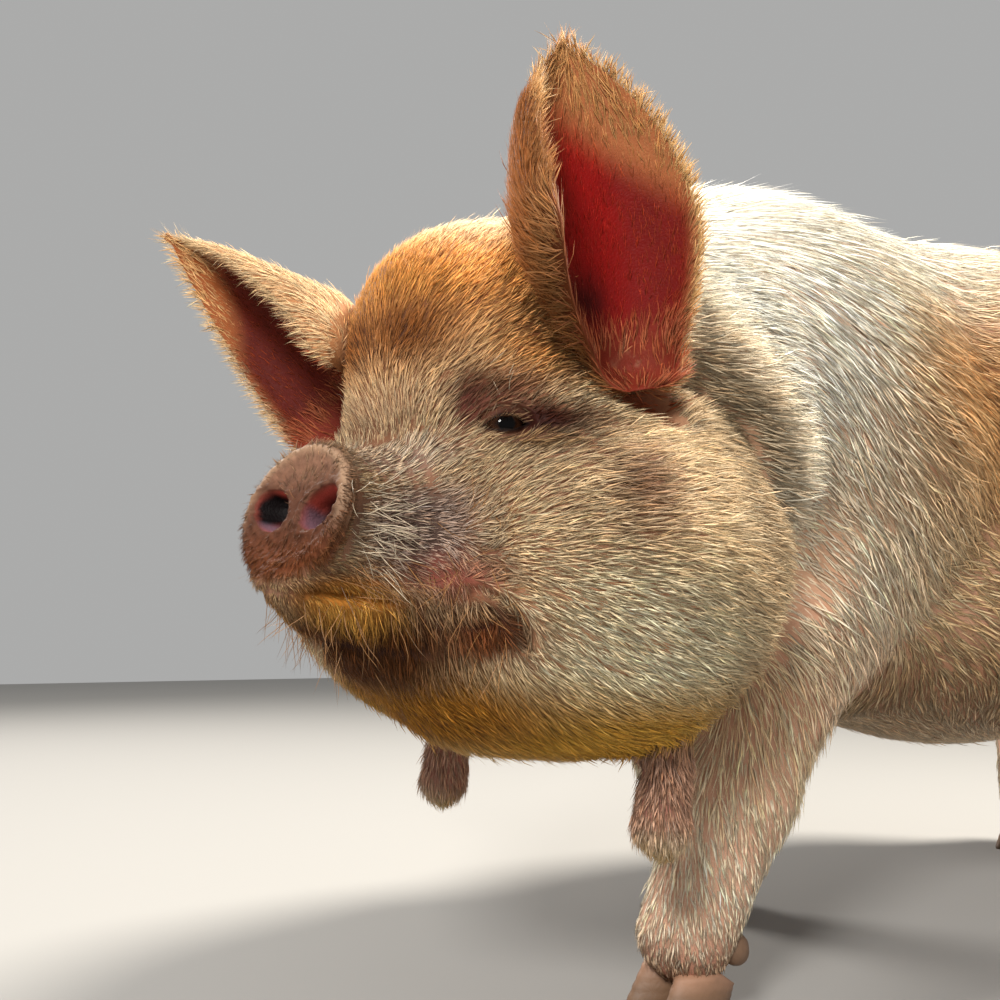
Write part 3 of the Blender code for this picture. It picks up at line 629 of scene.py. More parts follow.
def shapeLids(local):  # the lids follow the eyeball, and the skin between them sinks behind its front
    level, up, out, inside = eyePlace(local)
    spread = np.hypot(level, up)
    onBall = np.sqrt(np.maximum((eye["radius"] + eye["lid"]) ** 2 - spread ** 2, 0))
    mound = 1 - ease(np.hypot(level / lidSizes["moundWide"], up), *lidSizes["mound"])
    phase = np.clip(-inside, 0, lidSizes["rippleTo"]) / lidSizes["rippleLength"] * 2 * math.pi
    ripple = lidSizes["ripple"] * np.cos(phase) * ease(-inside, 0.001, 0.003)
    ripple *= 1 - ease(spread, *lidSizes["rippleFades"])
    height = out + ((onBall - out) * mound + ripple) * ease(out, *lidSizes["ahead"])
    sunk = np.sqrt(np.maximum((eye["radius"] - lidSizes["sunk"]) ** 2 - spread ** 2, 0))
    opened = ease(inside, -0.0004, 0.0007) * ease(out, 0.0, 0.004)
    height = height + (sunk - height) * opened
    return local + gaze * (height - out)[:, None]


discSizes = {"dish": 0.0022, "dishFades": (0.62, 0.86), "ridge": 0.0014, "ridgeAt": 0.94, "ridgeWidth": 0.07,
             "relief": ((0.00045, 900, 41), (0.00035, 1700, 42)), "lipRing": 0.0012, "lipRingAt": 1.18}


def shapeDisc(points, local):  # the snout's face is dished inside a ridge, and each nostril is a cup
    disc = toDiscFrame(local)
    reach = discReach(disc)
    front = (1 - ease(disc[:, 1], -0.001, 0.003)) * (1 - ease(reach, 0.98, 1.05))
    nostril = nostrilPlace(disc)
    ridge = np.exp(-((reach - discSizes["ridgeAt"]) / discSizes["ridgeWidth"]) ** 2) * ease(disc[:, 2], -0.03, -0.005)
    dish = discSizes["dish"] * (1 - ease(reach, *discSizes["dishFades"])) - discSizes["ridge"] * ridge
    dish += sum(height * waves(points, scale, seed) for height, scale, seed in discSizes["relief"])
    dish -= discSizes["lipRing"] * np.exp(-((nostril - discSizes["lipRingAt"]) / 0.16) ** 2)
    cup = np.sqrt(np.maximum(1 - np.minimum(nostril, 1) ** 2, 0)) * ease(-nostril, -1.05, -0.8)
    move = np.outer(dish, (0, 1, 0)) + np.outer(skinSizes["nostrilDepth"] * cup, skinSizes["nostrilSlant"])
    disc = disc + move * front[:, None]
    return np.where((front > 0)[:, None], disc @ discRows + np.array(snoutFace["centre"]), local)


def sculpt(points):  # the settled skin with its creases, lids, snout face and the hollows under the ears
    local, side = mirrorSide(toHead(points))
    headNormal = unit(fieldSlope(points) + 1e-9) @ headRows.T
    headNormal[:, 0] *= side
    local = shapeDisc(points, shapeLids(local + headNormal * creasePush(points, local)[:, None]))
    local[:, 0] *= side
    hollow, way = earHollow(local)
    return fromHead(local + way * (hollow * earSizes["pit"])[:, None])


# The body's eggs and limbs as closed balls; a limb takes each direction's farther ball of its two.
def rawBody():
    ball, quads, caps = ballGrid(20, 32)

    def eggBalls(eggs):
        return [(ball * radii) @ rowsOf(turn) + np.array(centre) for centre, radii, turn, _ in eggs.values()]

    def limbBall(start, startRadius, end, endRadius):
        last = ball @ (np.array(end) - np.array(start)) > startRadius - endRadius
        return np.where(last[:, None], np.array(end) + ball * endRadius, np.array(start) + ball * startRadius)

    def runBalls(stops):
        return [limbBall(*first, *second) for first, second in zip(stops[:-1], stops[1:])]

    inBody = eggBalls(trunkEggs) + [limbBall(*neckLimb[:4])]
    for stops in (*legRuns.values(), tailRun):
        inBody += runBalls(stops)
    middle = [limbBall(*limb[:4]) for limb in headLimbs]
    paired = eggBalls(headEggs) + runBalls(wattleRun)
    inHead = [fromHead(points) for points in middle + paired + [points * (-1, 1, 1) for points in paired]]
    balls = inBody + inHead
    return newPiece("skin", np.concatenate(balls), *(repeated(faces, len(balls), len(ball)) for faces in (quads, caps)))


def refine(mesh, wanted):  # halves the edges whose two ends are both wanted
    shape = bmesh.new()
    shape.from_mesh(mesh)
    shape.verts.ensure_lookup_table()
    flags = wanted.tolist()
    edges = [edge for edge in shape.edges if flags[edge.verts[0].index] and flags[edge.verts[1].index]]
    bmesh.ops.subdivide_edges(shape, edges=edges, cuts=1, use_grid_fill=True)
    shape.to_mesh(mesh)
    shape.free()
    mesh.update()


def nearFeatures(points):  # distance of each point from what the finer skin is for
    local, _ = mirrorSide(toHead(points))
    away = {"eye": np.linalg.norm(local - (np.array(eye["centre"]) + gaze * eye["radius"]), axis=1),
            "disc": np.linalg.norm(local - np.array(snoutFace["centre"]), axis=1),
            "mouth": nearLine(local, creases["mouth"][0])[0]}
    away["face"] = np.where(local[:, 1] < 0.12, np.linalg.norm(local - (0, 0.02, -0.03), axis=1), np.inf)
    away["nostril"] = np.where(nostrilPlace(discPlace(points)) < 1.5, away["disc"], np.inf)
    return away


skin = rawBody()
remesh = skin.modifiers.new("remesh", "REMESH")
remesh.mode = "VOXEL"
remesh.voxel_size = skinSizes["voxel"]
remesh.use_smooth_shade = True
evaluated(skin)
putPoints(skin.data, settle(pointsOf(skin.data), 4))
print("skin remeshed:", len(skin.data.vertices), "vertices")
for reaches in skinSizes["refine"]:
    away = nearFeatures(pointsOf(skin.data))
    refine(skin.data, np.any([away[key] < reach for key, reach in reaches.items()], axis=0))
    putPoints(skin.data, settle(pointsOf(skin.data), 1))
putPoints(skin.data, sculpt(pointsOf(skin.data)))
print("skin sculpted:", len(skin.data.vertices), "vertices")


# An ear is a cupped leaf, an arc at each place along the line from root to tip, with a wall of its own.
# Half width grows as a quarter sine to the widest place, then falls by a power to a blunt tip; the arc's
# radius is that over the sine of its half angle.
def earMiddle(across, along, ear):
    root, axis, broad, facing = earFrame(ear)
    grow = ear["rootShare"] + (1 - ear["rootShare"]) * np.sin(np.clip(along / ear["widest"], 0, 1) * math.pi / 2)
    taper = (1 - np.clip((along - ear["widest"]) / (1 - ear["widest"]), 0, 1) ** ear["blunt"]) ** 0.82
    sink = np.clip(-along / earSizes["rootDepth"], 0, 1)
    halfWidth = np.maximum(earSizes["halfWidth"] * grow * taper - earSizes["inset"], earSizes["least"])
    halfWidth = halfWidth * np.sqrt(1 - 0.97 * sink ** 2)
    front = ease(-across, 0.0, 0.3)
    beforeTip = 1 - ease(along, 0.72, 1.0)
    halfWidth = halfWidth * (1 - front * ear["tuck"] * (1 - ease(along, -0.05, 0.38)))
    halfWidth = halfWidth * (1 + front * (ear["frontWide"] - 1) * beforeTip)
    rootCup, tipCup = earSizes["cup"]
    rootCurl, upperCurl = ear["curl"]
    curl = rootCurl + (upperCurl - rootCurl) * ease(along, 0.0, 0.4)
    cup = np.radians(rootCup + (tipCup - rootCup) * np.clip(along, 0, 1) ** 0.7 + front * curl * beforeTip)
    radius = halfWidth / np.sin(np.minimum(cup, math.pi / 2))
    angle = across * cup
    below = np.sin(sink * math.pi / 2) * earSizes["rootDepth"]
    spine = root + np.where(along > 0, along * earSizes["shorten"], -below)[:, None] * axis
    spine = spine + facing * (ear["heel"] * (1 - np.cos(sink * math.pi / 2)))[:, None]
    aside, out = radius * np.sin(angle), radius * (1 - np.cos(angle))
    return fromHead(spine + broad * aside[:, None] + facing * out[:, None])


# A point of the ear's inner (1) or outer (-1) face, and the ways along and across there.
def earFace(across, along, face, ear):
    step = 0.01
    acrossWay = earMiddle(across + step, along, ear) - earMiddle(across - step, along, ear)
    alongWay = earMiddle(across, along + step, ear) - earMiddle(across, along - step, ear)
    normal = unit(np.cross(acrossWay, alongWay)) * ear["hand"]
    wall = earSizes["wall"] + (earSizes["rootWall"] - earSizes["wall"]) * ease(-along, -0.3, 0.0)
    edge = earSizes["edgeWall"]
    wall = edge + (wall - edge) * np.sqrt(np.maximum(1 - across ** 4, 0)) * ease(-along, -1.0, -0.75)
    wall = np.minimum(wall, edge + 0.004 * (1 + along / earSizes["rootDepth"]) + 0.02 * np.maximum(along, 0))
    ridges = earSizes["ridge"] * np.cos(across * 9.0) * ease(-np.abs(along - 0.45), -0.35, -0.1) * (1 - across ** 2)
    points = earMiddle(across, along, ear) + normal * (face * wall / 2 + ridges)[:, None]
    return points, unit(alongWay), unit(acrossWay)


def earMesh(side):
    ear = ears[side]
    rows, columns = earSizes["rows"], earSizes["columns"]
    across = np.sin(np.linspace(-1, 1, columns) * math.pi / 2)
    along = np.linspace(-earSizes["rootDepth"], 1.0, rows)
    acrossGrid, alongGrid = (grid.ravel() for grid in np.meshgrid(across, along))
    points = np.concatenate([earFace(acrossGrid, alongGrid, face, ear)[0] for face in (1.0, -1.0)])
    index = np.arange(rows * columns).reshape(rows, columns)
    innerQuads = gridFaces(rows, columns, False)
    outerQuads = innerQuads[:, ::-1] + rows * columns
    rim = np.concatenate([index[0, :], index[1:, -1], index[-1, -2::-1], index[-2:0:-1, 0]])
    after = np.roll(rim, -1)
    rimQuads = np.stack([after, rim, rim + rows * columns, after + rows * columns], -1)
    faces = np.concatenate([innerQuads, outerQuads, rimQuads])
    made = newPiece("ear_" + side + "_skin", points, faces if ear["hand"] > 0 else faces[:, ::-1])
    facesOutward(made)
    return made, acrossGrid, alongGrid


earObjects = {side: earMesh(side) for side in ears}
earPalette = {  # the hollow, its hair, its tip and the tip's hair, outside, its hair, the rim's hair
    # The hollow's red is partly the ear's own skin, partly a painted glow of light through the thin ear. The two sides
    # differ by painted light: the left ear's outside is darkened with painted shade, the right ear's outside paled with
    # painted light.
    "left": {"red": (120, 5, 3), "redHair": (150, 28, 16), "tip": (150, 96, 58), "tipHair": (180, 130, 80),
             "backSkin": (92, 46, 22), "backHair": (144, 86, 42), "rimHair": (222, 180, 122)},
    "right": {"red": (84, 18, 3), "redHair": (112, 36, 8), "tip": (150, 84, 42), "tipHair": (226, 176, 120),
              "backSkin": (170, 116, 76), "backHair": (234, 196, 150), "rimHair": (236, 202, 156)},
    # hollowShade is painted shade for the ear's canal and the hollow under the ear.
    "hollowShade": (40, 5, 4), "duskSkin": (76, 14, 8), "shadeHair": (142, 60, 34), "lobe": (112, 38, 24),
    "lobeHair": (168, 92, 60),
}


def earColours(across, along, face, side):  # red in the hollow, tan outside, paler hair along the edges
    own, size = earPalette[side], len(across)
    edge = ease(np.abs(across), 0.84, 1.0)
    frontBand = ease(-across, 0.1, 0.55) * ease(along, 0.1, 0.35) * 0.5
    tip = np.maximum(ease(along + 0.24 * np.abs(across + 0.3) ** 1.3, 0.66, 0.86), frontBand)
    # Painted shade over the hollow's rear half, away from the tip.
    paintedShade = ease(across, 0.1, 0.6) * (1 - tip)
    rim = edge * (1 - 0.7 * ease(-across, 0.0, 0.5) * (1 - ease(along, 0.6, 0.85)))
    canal = np.exp(-((across + 0.16) / 0.24) ** 2 - ((along - 0.18) / 0.1) ** 2)
    skinTone = mixTones(plain(own["red"], size), paintedShade * 0.6, earPalette["duskSkin"])
    skinTone = mixTones(skinTone, np.maximum(edge * 0.6, tip * 0.8), own["tip"])
    hairTone = mixTones(plain(own["redHair"], size), paintedShade * 0.7, earPalette["shadeHair"])
    hairTone = mixTones(mixTones(hairTone, tip, own["tipHair"]), rim, own["rimHair"])
    lobe = 1 - ease(along, 0.02, 0.15)
    hairTone, skinTone = mixBoth((hairTone, skinTone), lobe, earPalette["lobeHair"], earPalette["lobe"])
    # Painted shade down the ear's canal.
    skinTone = mixTones(skinTone, canal * 0.9, earPalette["hollowShade"])
    hairTone = mixTones(hairTone, canal * 0.7, earPalette["hollowShade"])
    backHair = mixTones(plain(own["backHair"], size), rim * 0.6, own["rimHair"])
    inside = (face > 0)[:, None]
    return np.where(inside, skinTone, plain(own["backSkin"], size)), np.where(inside, hairTone, backHair)


for side in ears:  # one skin: the ears are joined to the head and the corner between them is rounded
    join = skin.modifiers.new("join_" + side, "BOOLEAN")
    join.operation = "UNION"
    join.solver = "EXACT"
    join.object = earObjects[side][0]
    before = len(skin.data.polygons)
    evaluated(skin)
    print("ear joined:", side, before, "->", len(skin.data.polygons), "faces")

earJoin = {"reach": 0.36, "touch": (0.0015, 0.004), "onHead": (0.003, 0.012), "offEar": (0.004, 0.012),
           "rounds": 12, "factor": 0.5}
points = pointsOf(skin.data)
earDistance = np.full(len(points), 9.0)  # farther than any ear
earTouch = np.zeros((len(points), 4))  # across, along, face and side of the nearest place on an ear
headPlaces = np.flatnonzero(np.linalg.norm(toHead(points) - (0, 0.02, 0.12), axis=1) < earJoin["reach"])
for number, (made, acrossGrid, alongGrid) in enumerate(earObjects.values()):
    earPlaces = pointsOf(made.data)
    tree = kdtree.KDTree(len(earPlaces))
    for index, spot in enumerate(earPlaces):
        tree.insert(spot, index)
    tree.balance()
    found = [tree.find(points[index])[1:] for index in headPlaces]
    nearest, distance = (np.array(values) for values in zip(*found))
    closer = distance < earDistance[headPlaces]
    spots = headPlaces[closer]
    chosen = nearest[closer]
    earDistance[spots] = distance[closer]
    face = np.where(chosen < len(acrossGrid), 1.0, -1.0)
    grid = chosen % len(acrossGrid)
    earTouch[spots] = np.stack([acrossGrid[grid], alongGrid[grid], face, np.full(len(grid), number)], 1)
    bpy.data.objects.remove(made)
onEar = 1 - ease(earDistance, *earJoin["touch"])
fieldHere = pigField(points) + coatDepth(points)
rootWeight = (1 - ease(np.abs(fieldHere), *earJoin["onHead"])) * (1 - ease(earDistance, *earJoin["offEar"]))
rounding = skin.vertex_groups.new(name="rounding")
for index in np.flatnonzero(rootWeight > 0.02):
    rounding.add([int(index)], float(rootWeight[index]), "REPLACE")
smooth = skin.modifiers.new("smooth", "SMOOTH")
smooth.vertex_group = "rounding"
smooth.iterations = earJoin["rounds"]
smooth.factor = earJoin["factor"]
evaluated(skin)
skin.vertex_groups.clear()
points = pointsOf(skin.data)
earShare = onEar * np.where(earTouch[:, 2] > 0, 1.0, ease(fieldHere, -0.001, 0.005))
_, skinHere = markings(points)
local, _ = mirrorSide(toHead(points))
for number, side in enumerate(ears):
    own = (earTouch[:, 3] == number) & (onEar > 0)
    earSkin, _ = earColours(*earTouch[own, :3].T, side)
    skinHere[own] += (earSkin - skinHere[own]) * earShare[own][:, None]
pit = earHollow(toHead(points), 1.1, 1.4)[0] * ease(-fieldHere, 0.001, 0.005) * (1 - earShare)
lobeShare = 1 - ease(toHead(points)[:, 2], 0.04, 0.062)
# Painted shade: how near each point lies to a crease line; it darkens the skin and the coat there.
paintedCreaseShade = np.zeros(len(points))
for line, depth, width, _ in creases.values():
    paintedCreaseShade = np.maximum(paintedCreaseShade, np.exp(-(nearLine(local, line)[0] / width) ** 2) * min(1, depth / 0.004))
disc = discPlace(points)
slantedDisc = disc - nostrilSlant(disc)
inNostril = (1 - ease(nostrilPlace(slantedDisc), 0.9, 1.02)) * (1 - ease(disc[:, 1], 0.024, 0.03))
inNostril = inNostril * (np.abs(disc[:, 0]) < 0.05)
outer = np.abs(slantedDisc[:, 0]) - skinSizes["nostril"][0]
onFace = (1 - ease(discReach(disc), 1.0, 1.12)) * (1 - ease(disc[:, 1], 0.004, 0.01))
mottle = 0.16 * waves(points, 620, 43) + 0.16 * waves(points, 1500, 44)
# The snout face's upper rim is paler: partly its own skin, partly a painted highlight where the light catches it.
ridge = np.exp(-((discReach(disc) - 0.95) / 0.08) ** 2) * onFace * ease(disc[:, 2], -0.02, 0.01)
level, up, out, inside = eyePlace(local)
# The lids' edges are darkened: partly their own dark skin, partly painted shade under the upper lid.
lidEdge = (1 - ease(np.abs(inside), 0.0004, 0.003)) * (1 - ease(np.hypot(level, up), 0.012, 0.017)) * (out > 0.004)
# Painted shade in the hollow under each ear; under the lobe, half as much of the lobe's reddish brown.
skinHere = mixTones(skinHere, pit * (1 - lobeShare), earPalette["hollowShade"])
skinHere = mixTones(skinHere, pit * lobeShare * 0.5, earPalette["lobe"])
# Painted shade darkens the skin along the creases; the snout face is mottled at random.
skinHere = skinHere * (1 - 0.45 * paintedCreaseShade)[:, None] * (1 + onFace * mottle)[:, None]
for weight, colour in ((ridge * 0.6, discColours["ridge"]), (inNostril, discColours["red"]),
                       # Painted shade: the nostril darkens to a hole towards its outer side and with depth.
                       (inNostril * ease(outer, 0.004, 0.01), discColours["holeShade"]),
                       # Painted reflection: grey-blue on the nostril's wet lower part.
                       (inNostril * ease(-disc[:, 2] - 0.4 * outer, -0.001, 0.005) * 0.85, discColours["wet"]),
                       (inNostril * ease(disc[:, 1], 0.006, 0.017), discColours["holeShade"]),
                       (lidEdge * 0.95, eye["rimColour"])):
    skinHere = mixTones(skinHere, weight, colour)
putColours(skin.data, np.clip(skinHere, 0, 1))
skin.data.polygons.foreach_set("use_smooth", np.ones(len(skin.data.polygons), bool))
skin.data.calc_loop_triangles()
flat = np.empty(len(skin.data.loop_triangles) * 3, np.int32)
skin.data.loop_triangles.foreach_get("vertices", flat)
triangles = flat.reshape(-1, 3)
bare = {"points": points, "normals": pointsOf(skin.data, "normal"), "shade": paintedCreaseShade, "pit": pit, "lobe": lobeShare,
        "ear": earTouch, "onEar": earShare, "toEar": earDistance}
print("skin done:", len(points), "vertices")


coatSizes = {"headLength": ([-0.1, -0.06, -0.02, 0.03, 0.08, 0.14, 0.2],
                            [0.0055, 0.009, 0.0125, 0.016, 0.0195, 0.0235, 0.0275]),
             "headWidth": ([-0.1, -0.04, 0.02, 0.08, 0.16], [0.00055, 0.00066, 0.0008, 0.00098, 0.0012]),
             "wattle": (0.013, 0.0012), "bodyLength": 0.037, "bodyWidth": 0.0016, "bellyLength": 0.022,
             "legLength": 0.017, "legWidth": 0.0014, "footLength": 0.008, "tailLength": 0.014, "tailTuft": 0.04,
             "tailWidth": 0.0015, "besideEar": (0.004, 0.8),  # length at an ear, and how it grows with distance
             "bent": 0.56, "fine": 1.32, "fineSizes": (0.95, 0.66, 1.06)}  # shares of the counts; fine hairs' changes
coatPatches = {  # centre, half sizes and softness of the places where the coat differs, in the head's frame
    "chin": ((0.02, -0.05, -0.13), (0.08, 0.06, 0.03), 0.6),
    "chinFront": ((0.0, -0.045, -0.125), (0.09, 0.06, 0.045), 0.5),
    "besideEye": ((0.08, -0.01, -0.008), (0.035, 0.03, 0.018), 0.8),
    "eyeCorner": ((0.059, -0.024, 0.0), (0.014, 0.013, 0.015), 0.7),
    "eyeRing": ((0.084, -0.01, -0.005), (0.032, 0.026, 0.014), 0.8),
    "arch": ((0.078, -0.01, 0.01), (0.04, 0.04, 0.022), 0.7),
    "frown": ((0.0, -0.04, -0.002), (0.07, 0.03, 0.026), 0.8),
    "forehead": ((0.0, 0.0, 0.1), (0.12, 0.12, 0.1), 0.6),
    "crown": ((0.0, 0.075, 0.125), (0.09, 0.06, 0.04), 0.7),
    "lip": ((0.064, -0.031, -0.0925), (0.026, 0.02, 0.007), 0.6),
    "wattle": ((0.093, 0.118, -0.22), (0.04, 0.04, 0.07), 0.25),
    "wattleShort": ((0.093, 0.118, -0.225), (0.045, 0.045, 0.055), 0.3),
    "wattleHang": ((0.093, 0.118, -0.205), (0.04, 0.04, 0.055), 0.3),
    "neckFold": ((0.1, 0.108, -0.185), (0.04, 0.04, 0.024), 0.5),
    # and in the body's frame
    "belly": ((0, 0.38, 0.17), (0.24, 0.42, 0.1), 0.5),
    "betweenLegs": ((0, 0.36, 0.17), (0.1, 0.36, 0.12), 0.5),
    "shoulderSide": ((0.2, 0.0, 0.42), (0.2, 0.2, 0.25), 0.6),
    "wisps": ((0.24, 0.12, 0.42), (0.1, 0.09, 0.11), 0.8),
}


def inPatch(points, name):
    return patchWeight(points, *coatPatches[name])


def inHeadShare(points):  # 1 on the head, 0 on the trunk
    local, _ = mirrorSide(toHead(points))
    away = np.linalg.norm((local - (0, 0.03, -0.03)) * (1, 0.9, 1), axis=1)
    return np.maximum(ease(-away, -0.27, -0.19), inPatch(local, "wattle"))


def toward(value, wanted, weight):  # a value moved by a weight towards another
    return value + (wanted - value) * weight


def coatSize(points):  # length and width of a tuft at each place
    local, _ = mirrorSide(toHead(points))
    height = points[:, 2]
    headLength = np.interp(local[:, 1], *coatSizes["headLength"])
    for name, change in (("chin", 0.6), ("besideEye", -0.35), ("crown", 0.6)):
        headLength *= 1 + change * inPatch(local, name)
    headWidth = np.interp(local[:, 1], *coatSizes["headWidth"])
    wattle = inPatch(local, "wattleShort")
    headLength, headWidth = (toward(*values, wattle) for values in zip((headLength, headWidth), coatSizes["wattle"]))
    low, foot = 1 - ease(height, 0.14, 0.3), 1 - ease(height, 0.04, 0.12)
    belly = inPatch(points, "belly")
    bodyLength = coatSizes["bodyLength"] * (1 + 0.35 * ease(height, 0.5, 0.62))
    bodyLength = toward(bodyLength, coatSizes["bellyLength"], belly)
    bodyLength = toward(bodyLength, coatSizes["legLength"], low * (1 - belly))
    bodyLength = toward(bodyLength, coatSizes["footLength"], foot)
    bodyWidth = toward(coatSizes["bodyWidth"], coatSizes["legWidth"], low)
    tail = onTail(points)
    tuft = tail * (1 - ease(height, 0.28, 0.36))
    bodyLength = bodyLength * (1 - tail) + coatSizes["tailLength"] * tail + coatSizes["tailTuft"] * tuft
    bodyWidth = bodyWidth * (1 - tail) + coatSizes["tailWidth"] * tail
    head = inHeadShare(points)
    return toward(bodyLength, headLength, head), toward(bodyWidth, headWidth, head)


def coatFlow(points, normals):  # the coat lies back along the body, down the legs, up over the forehead
    local, side = mirrorSide(toHead(points))
    leg = (1 - ease(points[:, 2], 0.18, 0.3)) * (1 - inPatch(points, "betweenLegs"))
    down = (0.3 + 0.75 * inPatch(leftHalf(points), "shoulderSide")) * np.abs(normals[:, 0]) + 1.3 * leg
    body = np.stack([np.zeros(len(points)), 1 - 0.85 * leg, -down], 1)
    tail = onTail(points)[:, None]
    body = body * (1 - tail) + np.array([0, 0.1, -1]) * tail
    rise = 0.9 * inPatch(local, "forehead") + 0.55 * inPatch(local, "frown") + 0.35 * inPatch(local, "arch")
    fall = 0.35 * ease(-local[:, 2], 0.02, 0.12) * ease(local[:, 1], -0.02, 0.08)
    chin = inPatch(local, "chinFront")
    fan = 0.25 * ease(local[:, 1], -0.06, 0.02) * np.sign(local[:, 0]) * ease(np.abs(local[:, 0]), 0.0, 0.05)
    onHead = np.stack([fan, 1 - 0.7 * chin, rise - fall - 0.9 * chin], 1)
    wattle = inPatch(local, "wattleHang")[:, None]
    onHead = onHead * (1 - wattle) + np.array([0, 0.0, -1]) * wattle
    disc = discPlace(points)
    onDisc = ((1 - ease(discReach(disc), 1.0, 1.1)) * (disc[:, 1] < 0.004))[:, None]
    radial = np.stack([np.abs(disc[:, 0]), np.zeros(len(disc)), disc[:, 2]], 1) @ discRows
    onHead = onHead * (1 - onDisc) + (unit(radial + 1e-9) + (0, 0, -0.3)) * onDisc
    onHead[:, 0] *= side
    head = inHeadShare(points)
    flow = body * (1 - head[:, None]) + (onHead @ headRows) * head[:, None]
    swirl = waves(points, 38, 21) * 0.28 * (1 - head) + waves(points, 70, 22) * 0.16 * head
    flow = unit(flow - normals * (flow * normals).sum(1)[:, None])
    return unit(flow + np.cross(normals, flow) * swirl[:, None])


tuftShape = {"widths": (0.75, 1.0, 0.8, 0.6), "shorten": 0.1, "droop": 0.42, "wavePace": 5.0, "sunk": 0.0006,
             "tipShade": 1.12, "patch": 0.003}  # patch: each tuft's small square of the unwrap


# Tufts: a three-sided blade on a bent spine. Each ring is a left, a right and a ridge corner, wide at the
# middle and closing to a point; the spine lifts off the skin and lies down again, and may wave sideways.
def tuftMesh(name, roots, normals, flow, length, width, lift, curl, colours, unwrap, rings=2, thick=0.34, rootShade=0.5):
    size = len(roots)
    across = unit(np.cross(flow, normals))
    phase = rng.uniform(0, 2 * math.pi, size)
    chance = rng.uniform(0, 1, size)
    corners, tints, strands, patch = [], [], [], []
    for ring, t in enumerate(np.linspace(0, 1, rings + 1)):
        bend = np.sin(phase + t * tuftShape["wavePace"]) - np.sin(phase)
        rise = length * lift * (t - tuftShape["droop"] * t * t) - tuftShape["sunk"] * (1 - t)
        spine = roots + flow * (length * t * (1 - tuftShape["shorten"] * lift * t))[:, None]
        spine = spine + normals * rise[:, None] + across * (length * curl * bend * t)[:, None]
        wide = width * tuftShape["widths"][min(ring, 3)]
        for edge, high in ((-1, 0), (1, 0), (0, thick)) if ring < rings else ((0, 0),):
            corners.append(spine + across * (edge * wide / 2)[:, None] + normals * (high * wide)[:, None])
            # Painted shade: each tuft is darker at its root, where the coat shades itself, and lighter towards its tip.
            tints.append(colours * (rootShade + (tuftShape["tipShade"] - rootShade) * t ** 0.7))
            strands.append(np.stack([np.full(size, float(edge)), np.full(size, t), chance], 1))
            patch.append((edge * 0.5 + 0.5, t))
    points, tints, strands = (np.stack(parts, 1).reshape(-1, 3) for parts in (corners, tints, strands))
    quads = []
    for left in range(0, 3 * (rings - 1), 3):
        rightEdge, ridgeEdge = left + 1, left + 2
        quads += [(rightEdge, left, left + 3, rightEdge + 3), (rightEdge, rightEdge + 3, ridgeEdge + 3, ridgeEdge),
                  (ridgeEdge, ridgeEdge + 3, left + 3, left)]
    last, tip, stride = 3 * (rings - 1), 3 * rings, 3 * rings + 1
    tris = np.array([(last + 1, last, tip), (last + 1, tip, last + 2), (last + 2, tip, last)])
    quads, tris = (repeated(faces, size, stride) for faces in (np.array(quads, int).reshape(-1, 4), tris))
    piece = newPiece(name, points, quads, tris)
    putColours(piece.data, np.clip(tints, 0, 1))
    putVectors(piece.data, strands, "strand")
    uvLayer = piece.data.uv_layers.new(name="OFBake")
    corner = np.concatenate([quads.ravel(), tris.ravel()])
    spread = (np.array(patch)[corner % stride] - 0.5) * tuftShape["patch"]
    uvLayer.data.foreach_set("uv", (unwrap[corner // stride] + spread).astype(np.float32).ravel())
    return piece


unwraps = {"headMiddle": (0.0, 0.03, -0.04), "barrelHeight": 0.41, "barrelFrom": -0.2, "barrelLength": 1.12,
           "legHeight": 0.34, "round": 0.98, "strip": 0.94}


def roundUnwrap(points):  # the head's shape as seen from its middle: angle round and angle up
    local = toHead(points) - unwraps["headMiddle"]
    turn = np.arctan2(local[:, 0], -local[:, 1])
    lift = np.arctan2(local[:, 2], np.hypot(local[:, 0], local[:, 1]))
    return np.stack([0.5 + turn / (2 * math.pi) * unwraps["round"], 0.5 + lift / math.pi * unwraps["round"]], 1)


def barrelUnwrap(points):  # the trunk's shape round its long axis, by angle and by place along it
    turn = np.arctan2(points[:, 0], points[:, 2] - unwraps["barrelHeight"])
    along = np.clip((points[:, 1] - unwraps["barrelFrom"]) / unwraps["barrelLength"], 0, 1)
    return np.stack([0.5 + turn / (2 * math.pi) * unwraps["round"], 0.02 + 0.96 * along], 1)


def legUnwrap(points):  # four strips, one round each leg's axis
    result = np.zeros((len(points), 2))
    for index, run in enumerate(legRuns.values()):
        stops = np.array([stop[0] for stop in run])[::-1]
        centre = np.stack([np.interp(points[:, 2], stops[:, 2], stops[:, k]) for k in (0, 1)], 1)
        offset = points[:, :2] - centre
        hip = run[0][0]
        mine = ((hip[0] > 0) == (points[:, 0] > 0)) & ((hip[1] > 0.3) == (points[:, 1] > 0.35))
        turn = np.arctan2(offset[:, 0], offset[:, 1]) / (2 * math.pi)
        height = np.clip(points[:, 2] / unwraps["legHeight"], 0, 1)
        strip = np.stack([(index + 0.5 + turn * unwraps["strip"]) / 4, 0.02 + 0.96 * height], 1)
        result = np.where(mine[:, None], strip, result)
    return result


corners = bare["points"][triangles]
centres = corners.mean(axis=1)
areas = np.linalg.norm(np.cross(corners[:, 1] - corners[:, 0], corners[:, 2] - corners[:, 0]), axis=1) / 2
centreLocal = toHead(centres)
centreLength, centreWidth = coatSize(centres)


